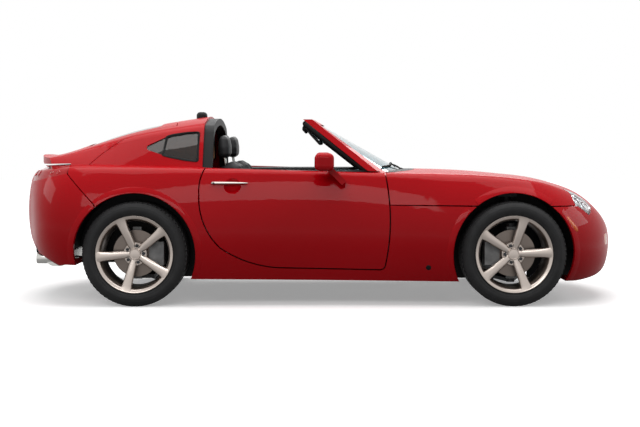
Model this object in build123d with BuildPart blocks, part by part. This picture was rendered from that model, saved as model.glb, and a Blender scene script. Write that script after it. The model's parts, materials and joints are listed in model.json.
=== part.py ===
from build123d import *
from collections import namedtuple
from functools import lru_cache
from math import cos, radians, sin
import os

os.makedirs("parts", exist_ok=True)

# Driving sizes, millimetres: +X forward, +Y left, +Z up, ground at z 0
half_length = 1996
wheelbase = 2416
front_axle_x = 1236
rear_axle_x = front_axle_x - wheelbase
front_track_y = 768  # half of the front track
rear_track_y = 778
tyre_r = 334
tyre_w = 240
rim_r = 228  # bead seat
axle_z = tyre_r
reach = 1100  # longer than any half width, for cutting tools
sky_z = 1400  # above everything, for cutting tools

# Clearances
shut_gap = 8.5  # between a moving panel and its neighbours
seam = 6  # between fixed panels that show a shut line
touch_fit = 0.4  # between pieces that rest on each other
run_fit = 0.05  # radial, shaft in bore
skin_t = 22  # body panels
glass_t = 5
glass_inset = 5

# Body below the belt: one row per station along the car
Station = namedtuple("Station", "x sill_w sill_z belly_w belly_z shoulder_w shoulder_z crown_z round_r")
lower_stations = [
    Station(-half_length, 150, 430, 190, 600, 150, 735, 760, 40),
    Station(-1950, 330, 370, 400, 595, 320, 812, 838, 55),
    Station(-1880, 520, 330, 600, 590, 490, 850, 882, 70),
    Station(-1780, 690, 290, 778, 585, 620, 872, 906, 85),
    Station(-1640, 790, 230, 872, 580, 715, 886, 922, 100),
    Station(-1440, 825, 160, 904, 575, 765, 890, 926, 105),
    Station(-1180, 832, 135, 908, 575, 780, 888, 925, 105),
    Station(-750, 815, 130, 888, 590, 795, 880, 903, 75),
    Station(-150, 800, 130, 866, 600, 792, 864, 882, 50),
    Station(400, 800, 130, 866, 600, 786, 850, 868, 60),
    Station(830, 812, 130, 886, 590, 772, 842, 862, 100),
    Station(1236, 822, 135, 906, 575, 742, 820, 834, 120),
    Station(1480, 806, 140, 892, 555, 690, 775, 803, 115),
    Station(1660, 730, 150, 806, 515, 605, 708, 755, 100),
    Station(1790, 610, 165, 682, 480, 500, 640, 696, 85),
    Station(1880, 470, 190, 540, 445, 390, 575, 620, 70),
    Station(1950, 300, 240, 360, 410, 260, 505, 551, 50),
    Station(half_length, 110, 300, 150, 385, 110, 455, 482, 30),
]
sill_round = 40
sill_line = [(-1720, 240), (-1640, 262), (-1500, 262), (-1440, 178), (800, 156), (1560, 156), (1700, 150)]  # cut off below

# Rear roof, sails and ducktail above the belt
Sail = namedtuple("Sail", "x base_w base_z roof_w roof_z crown_z round_r")
roof_front_x = -760
sail_stations = [
    Sail(roof_front_x, 742, 840, 560, 1165, 1230, 120),
    Sail(-1000, 742, 840, 560, 1130, 1194, 120),
    Sail(-1300, 715, 840, 545, 1070, 1131, 110),
    Sail(-1550, 675, 850, 540, 1000, 1046, 80),
    Sail(-1780, 640, 880, 590, 945, 970, 20),
    Sail(-1908, 585, 935, 570, 950, 967, 6),
]
sail_bow = 12  # outward bow of the sail's side
tail_edge_x = -1915  # the ducktail's rear edge, an arc seen from above
tail_edge_r = 1320


def lower_section(s, inset):
    with BuildSketch(Plane.YZ.offset(s.x * (half_length - inset) / half_length)) as section:
        with BuildLine():
            sill = (s.sill_w - inset, s.sill_z + inset)
            belly = (s.belly_w - inset, s.belly_z)
            shoulder = (s.shoulder_w - inset, s.shoulder_z - inset)
            Line((-sill[0], sill[1]), sill)
            ThreePointArc(sill, belly, shoulder)
            ThreePointArc(shoulder, (0, s.crown_z - inset), (-shoulder[0], shoulder[1]))
            ThreePointArc((-shoulder[0], shoulder[1]), (-belly[0], belly[1]), (-sill[0], sill[1]))
        make_face()
        fillet(vertices().group_by(Axis.Y)[-1], s.round_r)
        fillet(vertices().group_by(Axis.Y)[0], sill_round)
    return section.sketch


@lru_cache(None)
def lower_body(inset):
    with BuildPart() as body:
        loft([lower_section(s, inset) for s in lower_stations])
        with BuildSketch(Plane.XZ):
            edge = [(x, z + inset) for x, z in sill_line]
            Polygon(*edge, (edge[-1][0], 0), (edge[0][0], 0), align=None)
        extrude(amount=reach, both=True, mode=Mode.SUBTRACT)
    return body.part


def sail_section(s, inset, shift, drop=0):
    with BuildSketch(Plane.YZ.offset(s.x + shift)) as section:
        with BuildLine():
            base = (s.base_w - inset, s.base_z - drop)
            roof = (s.roof_w - inset, s.roof_z - inset)
            bow = ((base[0] + roof[0]) / 2 + sail_bow, (base[1] + roof[1]) / 2)
            Line((-base[0], base[1]), base)
            ThreePointArc(base, bow, roof)
            ThreePointArc(roof, (0, s.crown_z - inset), (-roof[0], roof[1]))
            ThreePointArc((-roof[0], roof[1]), (-bow[0], bow[1]), (-base[0], base[1]))
        make_face()
        fillet(vertices().group_by(Axis.Y)[-1], s.round_r)
    return section.sketch


def sail_body(inset, front_shift=0, count=None, drop=0):
    with BuildPart() as body:
        rows = sail_stations[:count]
        loft([sail_section(s, inset, front_shift if s is rows[0] else 0, drop) for s in rows])
    return body.part


# Master solids: the outside of the car, and the hollow inside its skin
lower_outer = lower_body(0)
lower_hollow = lower_body(skin_t)
with BuildPart() as sails:
    add(sail_body(0))
    with Locations((tail_edge_x + tail_edge_r, 0, 0)):
        Cylinder(tail_edge_r, 2 * sky_z, mode=Mode.INTERSECT)
with BuildPart() as outer:
    add(lower_outer)
    add(sails.part)

with BuildPart() as hollow:
    add(lower_hollow)
    add(sail_body(skin_t, front_shift=40, count=5, drop=12))

with BuildPart() as shell:
    add(outer.part)
    add(hollow.part, mode=Mode.SUBTRACT)


def save(piece, label):
    piece.label = label
    export_step(piece, f"parts/{label}.step")


def save_pair(piece, label):
    save(piece, f"{label}_right")
    save(mirror(piece, about=Plane.XZ), f"{label}_left")


def side_block(points, inner_y, grow=0):
    with BuildPart() as block:
        for face_y in (inner_y, -reach):
            with BuildSketch(Plane.XZ.offset(face_y)):
                Polygon(*points, align=None)
                if grow:
                    offset(amount=grow, kind=Kind.INTERSECTION)
            extrude(amount=reach - inner_y)
    return block.part


def block(x_range, y_range, z_range, mode=Mode.ADD):
    size = [high - low for low, high in (x_range, y_range, z_range)]
    with Locations((x_range[0], y_range[0], z_range[0])):
        Box(*size, align=(Align.MIN, Align.MIN, Align.MIN), mode=mode)


# Wheel arches
arch_r = 388
arch_inner_y = 470
with BuildPart() as arches:
    for x in (front_axle_x, rear_axle_x):
        for side in (-1, 1):
            with Locations(Plane(origin=(x, side * arch_inner_y, axle_z), z_dir=(0, side, 0))):
                Cylinder(arch_r, reach, align=(Align.CENTER, Align.CENTER, Align.MIN))

# Door outline seen from the side, shared by doors and the panels round them
door_inner_y = 745
door_edge_x = 442
door_front_top = (394, 930)
door_front_low = (408, 236)
door_sill_rear = (-254, 250)
door_bend = (-635, 381)
door_rear_mid = (-765, 711)
door_rear_top = (-700, 930)
door_corner_r = 30


def door_outline(grow):
    with BuildSketch(Plane.XZ) as outline:
        with BuildLine():
            ThreePointArc(door_front_top, (door_edge_x, 600), door_front_low)
            Line(door_front_low, door_sill_rear)
            ThreePointArc(door_sill_rear, (-480, 297), door_bend)
            ThreePointArc(door_bend, (-729, 520), door_rear_mid)
            ThreePointArc(door_rear_mid, (-758, 815), door_rear_top)
            Line(door_rear_top, door_front_top)
        make_face()
        low_front = vertices().sort_by_distance((door_front_low[0], door_front_low[1], 0))[0]
        fillet(low_front, door_corner_r)
        if grow:
            offset(amount=grow, kind=Kind.INTERSECTION)
    return outline.sketch


with BuildPart() as door_space:
    extrude(door_outline(0), amount=reach, both=True)
with BuildPart() as door_gap:
    extrude(door_outline(shut_gap), amount=reach, both=True)

# Hood: clamshell, hinged across the nose
hood_hinge_x = 1790
hood_hinge_z = 640
hood_hinge_r = 80
hood_rear_x = 380
hood_rear_z = 650
hood_lip_r = hood_hinge_r + seam
cowl_side = (392, 800)
cowl_centre_x = 660


def nose_arc(radius):
    low = (hood_hinge_x - radius, hood_hinge_z)
    mid = (hood_hinge_x - radius * cos(radians(45)), hood_hinge_z + radius * sin(radians(45)))
    top = (hood_hinge_x, hood_hinge_z + radius)
    return ThreePointArc(low, mid, top)


with BuildPart() as hood_region:
    with BuildSketch(Plane.XZ):
        with BuildLine():
            front = nose_arc(hood_lip_r)
            Polyline(front @ 1, (hood_hinge_x, sky_z), (hood_rear_x, sky_z), (hood_rear_x, hood_rear_z), front @ 0)
        make_face()
    extrude(amount=reach, both=True)

with BuildPart() as cowl_space:
    with BuildSketch(Plane.XY.offset(700)):
        with BuildLine():
            rear_edge = ThreePointArc((cowl_side[0], -cowl_side[1]), (cowl_centre_x, 0), cowl_side)
            Polyline(rear_edge @ 1, (hood_rear_x - 300, cowl_side[1]), (hood_rear_x - 300, -cowl_side[1]), rear_edge @ 0)
        make_face()
    extrude(amount=sky_z)

with BuildPart() as nose_region:
    with BuildSketch(Plane.XZ):
        with BuildLine():
            front = nose_arc(hood_hinge_r)
            Polyline(
                front @ 1,
                (half_length + 100, hood_hinge_z + hood_hinge_r),
                (half_length + 100, 50),
                (front_axle_x, 50),
                (front_axle_x, hood_hinge_z - seam),
                (hood_hinge_x - hood_hinge_r, hood_hinge_z - seam),
                front @ 0,
            )
        make_face()
    extrude(amount=reach, both=True)

# Headlamp: a rounded kite cut square to the sloping nose
lamp_tilt = 42
lamp_y = 600
lamp_kite = [(-122, 35), (-15, -125), (112, -75), (105, 60), (-30, 118)]
lamp_round = 28


def headlamp_space(grow, floor=-120):
    with BuildPart() as space:
        for side in (-1, 1):
            tilt = (sin(radians(lamp_tilt)), 0, cos(radians(lamp_tilt)))
            ahead = (cos(radians(lamp_tilt)), 0, -sin(radians(lamp_tilt)))
            nose = Plane(origin=(1690, side * lamp_y, 664), x_dir=ahead, z_dir=tilt)
            with BuildSketch(nose.offset(floor)):
                Polygon(*[(u, -side * v) for u, v in lamp_kite], align=None)
                fillet(vertices(), lamp_round)
                if grow:
                    offset(amount=grow)
            extrude(amount=120 - floor)
    return space.part


lamp_space = headlamp_space(0)
lamp_gap = headlamp_space(seam)

# Hatch: rear window, deck and ducktail, hinged below the roof
hatch_hinge_x = -1010
hatch_hinge_z = 1140
hatch_hinge_r = 56
hatch_plan = [(-880, 455), (-1090, 455), (-1440, 600), (-1580, 690), (-2050, 720)]
hatch_low = [(-1408, 930), (-1624, 852), (-1628, 908), (-2050, 902)]


def hatch_solid(radius, drop, grow):
    with BuildPart() as space:
        with BuildSketch(Plane.XZ):
            with BuildLine():
                top = (hatch_hinge_x, sky_z)
                front = (hatch_hinge_x + radius, hatch_hinge_z)
                mid = (
                    hatch_hinge_x + radius * cos(radians(45)),
                    hatch_hinge_z + radius * sin(radians(45)),
                )
                crown = (hatch_hinge_x, hatch_hinge_z + radius)
                ThreePointArc(crown, mid, front)
                Polyline(front, *[(x, z - drop) for x, z in hatch_low], (-2050, sky_z), top, crown)
            make_face()
        extrude(amount=reach, both=True)
        with BuildSketch(Plane.XY):
            right = [(x, -y - grow) for x, y in hatch_plan]
            left = [(x, y + grow) for x, y in reversed(hatch_plan)]
            Polygon(*right, *left, align=None)
        extrude(amount=sky_z, mode=Mode.INTERSECT)
    return space.part


hatch_space = hatch_solid(hatch_hinge_r, 0, 0)
hatch_room_r = hatch_hinge_r + seam
with BuildPart() as hatch_room:  # the front edge swings down round the hinge
    add(hatch_solid(hatch_room_r, seam, seam))
    with Locations(Location((hatch_hinge_x, 0, hatch_hinge_z), (90, 0, 0))):
        Cylinder(hatch_room_r - 0.5, 2 * (hatch_plan[0][1] + seam))
hatch_gap = hatch_room.part

# Tail lamps and rear bumper
tail_lamp_side = [(-1618, 900), (-2050, 860), (-2050, 770), (-1842, 800), (-1627, 846)]
tail_lamp_inner_y = 430
tail_lamp_space = side_block(tail_lamp_side, tail_lamp_inner_y)
bumper_side = [(-1627, 842), (-1436, 650), (-1330, 50), (-2050, 50), (-2050, 895), (-1627, 895)]
bumper_space = side_block(bumper_side, 0)

# Quarter window in the sail
window_side = [(-1160, 1010), (-985, 1092), (-880, 1110), (-790, 1116), (-790, 920), (-872, 930), (-1000, 956)]
with BuildPart() as window_space:
    with BuildSketch(Plane.XZ):
        Polygon(*window_side, align=None)
        fillet(vertices(), 18)
    extrude(amount=reach, both=True)

# Front panels
skin_floor_y = 690  # side panels stop here, the floor pan takes over
mouth_w = 300
mouth_z = (310, 470)
mouth_round = 40
turn_lamp_y = (430, 540)
turn_lamp_z = (370, 440)


def front_cut(start_x, y_range, z_range, round_r):
    with BuildPart() as space:
        with BuildSketch(Plane.YZ.offset(start_x)):
            middle_y = sum(y_range) / 2
            with Locations([(y, sum(z_range) / 2) for y in {middle_y, -middle_y}]):
                RectangleRounded(y_range[1] - y_range[0], z_range[1] - z_range[0], round_r)
        extrude(amount=400)
    return space.part


mouth_space = front_cut(1800, (-mouth_w, mouth_w), mouth_z, mouth_round)
turn_lamp_space = front_cut(1650, turn_lamp_y, turn_lamp_z, 20)


def panel(region, *cuts):
    with BuildPart() as piece:
        add(region)
        for cut in cuts:
            add(cut, mode=Mode.SUBTRACT)
        add(shell.part, mode=Mode.INTERSECT)
    return piece.part


hood_arm_y = 120
hood_arm_t = 14
hood_arm_w = 26
hood_arm_route = [(hood_hinge_x, hood_hinge_z), (1712, 586), (1650, 640), (1636, 746)]
hood_pin_r = 8
hood_eye_r = 17
hinge_room = 6
hinge_room_y = hood_arm_y + 10
hinge_room_l = 52
with BuildPart() as hood:
    add(panel(hood_region.part, cowl_space.part, door_gap.part, arches.part, lamp_gap))
    for side in (-1, 1):
        with BuildSketch(Plane.XZ.offset(side * hood_arm_y)):
            with BuildLine() as route:
                Polyline(*hood_arm_route)
            trace(route.line, hood_arm_w)
            with Locations(hood_arm_route[0]):
                Circle(hood_eye_r)
                Circle(hood_pin_r + run_fit, mode=Mode.SUBTRACT)
        extrude(amount=hood_arm_t / 2, both=True)
save(hood.part, "hood")

with BuildPart() as nose_belly:
    block((front_axle_x - 100, 1790), (-600, 600), (0, 280))
with BuildPart() as front_bumper:
    add(panel(nose_region.part, arches.part, lamp_space, turn_lamp_space, nose_belly.part))
    add(mouth_space, mode=Mode.SUBTRACT)
    for side in (-1, 1):  # room for the hood's hinge eyes and their brackets
        with Locations(Location((hood_hinge_x, side * hinge_room_y, hood_hinge_z), (90, 0, 0))):
            Cylinder(hood_eye_r + hinge_room, hinge_room_l, mode=Mode.SUBTRACT)
save(front_bumper.part, "front_bumper")
save(panel(turn_lamp_space), "turn_lamps")
save(panel(lamp_space), "headlamps")

grille_x = 1926
grille_t = 14
grille_fit = 0.3
grille_slot = 20
grille_bar = 9
grille_rim = 18
with BuildPart() as grille:
    with BuildSketch(Plane.YZ.offset(grille_x)):
        height = mouth_z[1] - mouth_z[0]
        with Locations((0, sum(mouth_z) / 2)):
            RectangleRounded(2 * (mouth_w - grille_fit), height - 2 * grille_fit, mouth_round)
            with GridLocations(0, grille_slot + grille_bar, 1, 4):
                Rectangle(2 * (mouth_w - grille_rim), grille_slot, mode=Mode.SUBTRACT)
    extrude(amount=grille_t)
save(grille.part, "grille")

wing_rear_x = 430
wing_top_z = (hood_hinge_z - seam, hood_rear_z - seam)
wing_side = [
    (wing_rear_x, 50),
    (front_axle_x, 50),
    (front_axle_x, wing_top_z[0]),
    (wing_rear_x, wing_top_z[1]),
]
save(panel(side_block(wing_side, skin_floor_y), door_gap.part, arches.part), "front_wings")

# Rear panels
save(panel(tail_lamp_space, hatch_gap), "tail_lamps")
with BuildPart() as tail_belly:
    block((-1880, rear_axle_x), (-560, 560), (0, 368))
save(panel(bumper_space, arches.part, tail_lamp_space, hatch_gap, tail_belly.part), "rear_bumper")

# Sides and roof
roof_seam_y = 470
roof_seam_z = 1000
cabin_w = 718
side_cuts = (door_gap.part, arches.part, hatch_gap, tail_lamp_space, window_space.part, side_block(bumper_side, 0, seam))
with BuildPart() as side_region:
    block((-2100, wing_rear_x), (-reach, -roof_seam_y), (0, sky_z))
    block((-2100, 800), (-skin_floor_y, skin_floor_y), (0, 600), Mode.SUBTRACT)
    block((roof_front_x, 800), (-cabin_w, cabin_w), (500, sky_z), Mode.SUBTRACT)
side_panel = panel(side_region.part, *side_cuts)
save_pair(side_panel.solids().sort_by(SortBy.VOLUME)[-1], "body_side")

with BuildPart() as roof_region:
    block((-2100, roof_front_x + 100), (-roof_seam_y, roof_seam_y), (roof_seam_z, sky_z))
save(panel(roof_region.part, hatch_gap), "roof")


hoop_inset = 14
hoop_t = 46
hoop_l = 62
hoop_row = sail_stations[0]
with BuildPart() as roof_hoop:
    extrude(sail_section(hoop_row, hoop_inset, 0), amount=hoop_l)
    extrude(sail_section(hoop_row, hoop_inset + hoop_t, 0), amount=hoop_l, mode=Mode.SUBTRACT)
    for side in (-1, 1):
        block((-reach, reach), sorted((side * (cabin_w - 0.5), side * reach)), (0, 910), Mode.SUBTRACT)
save(roof_hoop.part, "roof_hoop")

with BuildPart() as window_pane:
    add(window_space.part)
    add(sail_body(glass_inset), mode=Mode.INTERSECT)
pane_faces = window_pane.faces().sort_by(Axis.Y)
with BuildPart() as quarter_windows:
    thicken([pane_faces[0], pane_faces[-1]], amount=-glass_t)
save(quarter_windows.part, "quarter_windows")

# Hatch
hatch_glass_plan = [(-1072, 380), (-1560, 440)]
with BuildPart() as hatch_window:
    with BuildSketch(Plane.XY.offset(800)):
        rear_half = [(x, -y) for x, y in hatch_glass_plan] + [(x, y) for x, y in reversed(hatch_glass_plan)]
        Polygon(*rear_half, align=None)
        fillet(vertices(), 60)
    extrude(amount=600)
save(panel(hatch_space, hatch_window.part), "hatch")
with BuildPart() as hatch_pane:
    add(hatch_window.part)
    add(sail_body(glass_inset), mode=Mode.INTERSECT)
with BuildPart() as hatch_glass:
    thicken(hatch_pane.faces().sort_by(Axis.Z)[-1], amount=-glass_t)
    add(hatch_window.part, mode=Mode.INTERSECT)
save(hatch_glass.part, "hatch_glass")

# Windscreen, its frame and the cowl below it
Strip = namedtuple("Strip", "z side_x side_y mid_x")
screen_low = Strip(800, 445, 787, 682)
screen_top = Strip(1198, -52, 569, -28)
screen_t = 60
screen_leg_y = 735  # below the belt the pillars stand inside the doors
door_top_clear = 8
with BuildPart() as screen_opening:
    with BuildSketch(Plane.YZ.offset(-300)):
        Polygon((-705, 790), (705, 790), (528, 1165), (-528, 1165), align=None)
        fillet(vertices().group_by(Axis.Y)[-1], 45)
    extrude(amount=1200)


def screen_strip(back, depth):
    sections = []
    for s in (screen_low, screen_top):
        front_x = s.side_x - back
        rear_x = front_x - depth
        bow = s.mid_x - s.side_x
        with BuildSketch(Plane.XY.offset(s.z)) as section:
            with BuildLine():
                face = ThreePointArc((front_x, -s.side_y), (front_x + bow, 0), (front_x, s.side_y))
                rear = ThreePointArc((rear_x, s.side_y), (rear_x + bow, 0), (rear_x, -s.side_y))
                Line(face @ 1, rear @ 0)
                Line(rear @ 1, face @ 0)
            make_face()
        sections.append(section.sketch)
    with BuildPart() as strip:
        loft(sections, ruled=True)
    return strip.part


with BuildPart() as over_doors:
    block((-reach, 2 * reach), (-reach, reach), (0, 950))
    block((-reach, 2 * reach), (-screen_leg_y, screen_leg_y), (0, sky_z), Mode.SUBTRACT)
    add(lower_body(-door_top_clear), mode=Mode.INTERSECT)
with BuildPart() as screen_frame:
    add(screen_strip(0, screen_t))
    add(screen_opening.part, mode=Mode.SUBTRACT)
    add(over_doors.part, mode=Mode.SUBTRACT)
save(screen_frame.part, "screen_frame")
with BuildPart() as windscreen:
    add(screen_strip(12, 12))
    add(screen_opening.part, mode=Mode.INTERSECT)
    add(lower_outer, mode=Mode.SUBTRACT)
save(windscreen.part, "windscreen")
with BuildPart() as cowl_region:
    with BuildSketch(Plane.XY.offset(700)):
        with BuildLine():
            front_edge = ThreePointArc((470, -660), (cowl_centre_x - seam, 0), (470, 660))
            screen_edge = ThreePointArc((400, 660), (540, 0), (400, -660))
            Line(front_edge @ 1, screen_edge @ 0)
            Line(screen_edge @ 1, front_edge @ 0)
        make_face()
    extrude(amount=300)
cowl = panel(cowl_region.part)
save(cowl, "cowl")

# Doors
door_hinge_x = door_edge_x - 55
door_hinge_y = 858
hinge_pin_r = 6
hinge_z = (400, 540)
hinge_arm_t = 8
hinge_arm_w = 12
hinge_slot = 6
hinge_pin_l = 36
window_slot_y = (-769, -757)
handle_x = (-695, -458)
handle_z = 787
handle_outer_y = 855
cup_x = -556  # finger cup behind the handle
cup_y = 895
cup_r = 80
with BuildPart() as door:
    add(door_space.part)
    block((-1000, 1000), (-reach, -door_inner_y), (0, sky_z), Mode.INTERSECT)
    block((-660, 340), window_slot_y, (790, sky_z), Mode.SUBTRACT)
    for z in hinge_z:
        with Locations((door_hinge_x, -door_hinge_y, z)):
            Cylinder(hinge_pin_r + run_fit, hinge_pin_l, mode=Mode.SUBTRACT)
        low = z - hinge_arm_t / 2 - hinge_slot
        block(
            (door_hinge_x - hinge_arm_w / 2 - hinge_slot, reach),
            (-door_hinge_y - 8, 0),
            (low, low + hinge_arm_t + 2 * hinge_slot),
            Mode.SUBTRACT,
        )
    add(lower_outer, mode=Mode.INTERSECT)
    with Locations((cup_x, -cup_y, handle_z)):
        Sphere(cup_r, mode=Mode.SUBTRACT)
save_pair(door.part, "door")

trim_inner_y = 714
trim_inset = 80
armrest_y = 655
with BuildPart() as trim:
    with BuildSketch(Plane.XZ.offset(trim_inner_y)):
        add(door_outline(-trim_inset))
        Rectangle(1500, 845, align=(Align.CENTER, Align.MIN), mode=Mode.INTERSECT)
    extrude(amount=door_inner_y - trim_inner_y)
    block((300, 500), (-reach, 0), (780, sky_z), Mode.SUBTRACT)
    block((-430, 60), (-trim_inner_y, -armrest_y), (560, 610))
save_pair(trim.part, "door_trim")

with BuildPart() as door_hinges:
    for side in (-1, 1):
        for z in hinge_z:
            with Locations((door_hinge_x, side * door_hinge_y, z)):
                Cylinder(hinge_pin_r, hinge_pin_l)
            block(
                (door_hinge_x - hinge_arm_w / 2, door_hinge_x + hinge_arm_w / 2),
                sorted((side * door_hinge_y, side * 722)),
                (z - hinge_arm_t / 2, z + hinge_arm_t / 2),
            )
            block((door_hinge_x - hinge_arm_w / 2, 446), sorted((side * 728, side * 716)), (z - 4, z + 4))
save(door_hinges.part, "door_hinges")

# Mirrors and handles ride on the doors
mirror_size = (122, 175, 112)
mirror_centre = (27, 905, 922)
mirror_round = 34
mirror_arm = [(30, 885), (84, 880), (168, 800), (140, 772)]
mirror_arm_y = (770, 880)
with BuildPart() as door_mirror:
    with Locations((mirror_centre[0], -mirror_centre[1], mirror_centre[2])):
        Box(*mirror_size)
    fillet(door_mirror.edges(), mirror_round)
    with BuildSketch(Plane.XZ.offset(mirror_arm_y[0])):
        Polygon(*mirror_arm, align=None)
        fillet(vertices(), 12)
    extrude(amount=mirror_arm_y[1] - mirror_arm_y[0])
    add(lower_outer, mode=Mode.SUBTRACT)
save_pair(door_mirror.part.solids().sort_by(SortBy.VOLUME)[-1], "mirror")

with BuildPart() as handle:
    with BuildSketch(Plane.XZ.offset(760)):
        with Locations((sum(handle_x) / 2, handle_z)):
            RectangleRounded(handle_x[1] - handle_x[0], 18, 8.9)
    extrude(amount=handle_outer_y - 760)
    fillet(handle.faces().sort_by(Axis.Y)[0].edges(), 5)
    add(lower_outer, mode=Mode.SUBTRACT)
save_pair(handle.part, "handle")

# Wheels: tyre, rim, disc with hub and stub shaft
rim_w = 216
rim_flange_r = 246
rim_barrel_r = 214
spoke_count = 5
spoke_root_w = 54
spoke_tip_w = 68
hub_r = 76
lug_circle_r = 55
lug_hole_r = 9
stub_r = 22
disc_r = 150
disc_t = 24
tyre_bead_y = 98
sidewall_r = 285
Wheel = namedtuple("Wheel", "name x y spoke_turn")
wheels = [
    Wheel("front_right", front_axle_x, -front_track_y, 2.5),
    Wheel("front_left", front_axle_x, front_track_y, 2.5),
    Wheel("rear_right", rear_axle_x, -rear_track_y, 40),
    Wheel("rear_left", rear_axle_x, rear_track_y, 40),
]

# Wheel shapes stand on the XY plane with +Z pointing out of the car
with BuildPart() as tyre_shape:
    with BuildSketch(Plane.XZ):
        with BuildLine():
            half_w = tyre_w / 2
            tread_w = half_w - 30
            for flip in (-1, 1):
                Line((rim_r, flip * tyre_bead_y), (250, flip * (tyre_bead_y + 4)))
                ThreePointArc(
                    (250, flip * (tyre_bead_y + 4)),
                    (sidewall_r, flip * half_w),
                    (tyre_r - 18, flip * (half_w - 10)),
                )
                ThreePointArc(
                    (tyre_r - 18, flip * (half_w - 10)),
                    (tyre_r - 4, flip * (tread_w + 12)),
                    (tyre_r, flip * tread_w),
                )
            Line((rim_r, -tyre_bead_y), (rim_r, tyre_bead_y))
            Line((tyre_r, -tread_w), (tyre_r, tread_w))
        make_face()
    revolve(axis=Axis.Z)

spoke_face_z = 88
hub_face_z = 66
hub_back_z = 36
with BuildPart() as spoke_shape:
    with BuildSketch(Plane.XZ):
        Polygon(
            (0, hub_back_z),
            (0, hub_face_z + 6),
            (150, hub_face_z + 22),
            (rim_r - 6, spoke_face_z + 14),
            (rim_flange_r - 6, spoke_face_z + 20),
            (rim_flange_r - 6, spoke_face_z + 16),
            (rim_r - 1.5, spoke_face_z + 12),
            (rim_barrel_r, spoke_face_z - 14),
            (rim_barrel_r - 20, hub_back_z + 14),
            (hub_r, hub_back_z),
            align=None,
        )
    extrude(amount=spoke_tip_w, both=True)
    with BuildSketch(Plane.XY):
        Polygon(
            (0, -spoke_root_w / 2),
            (rim_flange_r, -spoke_tip_w / 2),
            (rim_flange_r, spoke_tip_w / 2),
            (0, spoke_root_w / 2),
            align=None,
        )
    extrude(amount=200, mode=Mode.INTERSECT)

with BuildPart() as rim_shape:
    with BuildSketch(Plane.XZ):
        with BuildLine():
            half_w = rim_w / 2
            seat_r = rim_r - 0.3
            Polyline(
                (rim_barrel_r, 12 - half_w),
                (rim_flange_r - 3, -half_w),
                (rim_flange_r, 5 - half_w),
                (seat_r, -tyre_bead_y - 1),
                (seat_r, tyre_bead_y + 1),
                (rim_flange_r, half_w - 5),
                (rim_flange_r - 3, half_w),
                (rim_flange_r - 20, half_w - 6),
                (rim_barrel_r, half_w - 34),
                close=True,
            )
        make_face()
    revolve(axis=Axis.Z)
    with Locations((0, 0, hub_back_z)):
        Cylinder(hub_r, hub_face_z - hub_back_z, align=(Align.CENTER, Align.CENTER, Align.MIN))
    with PolarLocations(0, spoke_count):
        add(spoke_shape.part)
    with PolarLocations(lug_circle_r, spoke_count, start_angle=180 / spoke_count):
        Cylinder(lug_hole_r, 400, mode=Mode.SUBTRACT)

disc_z = -8
with BuildPart() as disc_shape:
    with Locations((0, 0, disc_z)):
        Cylinder(disc_r, disc_t)
    Cylinder(hub_r - 4, hub_back_z, align=(Align.CENTER, Align.CENTER, Align.MIN))
    Cylinder(stub_r, 130, align=(Align.CENTER, Align.CENTER, Align.MAX))
    for z, depth in ((hub_back_z, 26),):
        with PolarLocations(lug_circle_r, spoke_count, start_angle=180 / spoke_count):
            with Locations((0, 0, z)):
                Cylinder(lug_hole_r - run_fit * 4, depth, align=(Align.CENTER, Align.CENTER, Align.MIN))


def wheel_place(w):
    side = 1 if w.y > 0 else -1
    return Plane(origin=(w.x, w.y, axle_z), x_dir=(1, 0, 0), z_dir=(0, side, 0))


for w in wheels:
    turn = w.spoke_turn if w.y < 0 else -w.spoke_turn
    for kind, shape in (("tyre", tyre_shape), ("rim", rim_shape), ("disc", disc_shape)):
        with BuildPart() as piece:
            with Locations(wheel_place(w)):
                add(shape.part, rotation=(0, 0, turn))
        save(piece.part, f"{kind}_{w.name}")

# Steered knuckles in front, fixed uprights behind, each with its brake caliper
king_y = front_track_y - 60
pivot_r = 12
pivot_low_z = 190
pivot_top_z = 478
upright_t = 40
caliper_gap = 6
caliper_t = 22


def upright(x, y, side, caliper_side):
    inner = sorted((side * (abs(y) - 30 - upright_t), side * (abs(y) - 30)))
    with Locations(Location((x, side * (abs(y) - 30 - upright_t / 2), axle_z), (90, 0, 0))):
        Cylinder(58, upright_t)
    block((x - 28, x + 28), inner, (pivot_low_z - 24, pivot_top_z + 24))
    disc_y = abs(y) + disc_z
    low_x = x + caliper_side * (hub_r + 8)
    high_x = x + caliper_side * (disc_r + 28)
    span = sorted((low_x, high_x))
    outer_y = disc_y + disc_t / 2 + caliper_gap + caliper_t
    inner_y = disc_y - disc_t / 2 - caliper_gap - caliper_t
    block(span, sorted((side * inner_y, side * (outer_y - 4))), (axle_z - 75, axle_z + 75))
    block(sorted((x, low_x)), inner, (axle_z - 40, axle_z + 40))
    with Locations(Location((x, side * disc_y, axle_z), (90, 0, 0))):
        Cylinder(disc_r + caliper_gap, disc_t + 2 * caliper_gap, mode=Mode.SUBTRACT)
    with Locations(Location((x, side * abs(y), axle_z), (90, 0, 0))):
        Cylinder(stub_r + run_fit, 400, mode=Mode.SUBTRACT)


for label, side in (("right", -1), ("left", 1)):
    with BuildPart() as knuckle:
        upright(front_axle_x, front_track_y, side, -1)
        for z in (pivot_low_z, pivot_top_z):
            with Locations((front_axle_x, side * king_y, z)):
                Cylinder(pivot_r, 90)
    save(knuckle.part, f"front_knuckle_{label}")

with BuildPart() as rear_uprights:
    for side in (-1, 1):
        upright(rear_axle_x, rear_track_y, side, 1)
save(rear_uprights.part, "rear_uprights")

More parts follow.
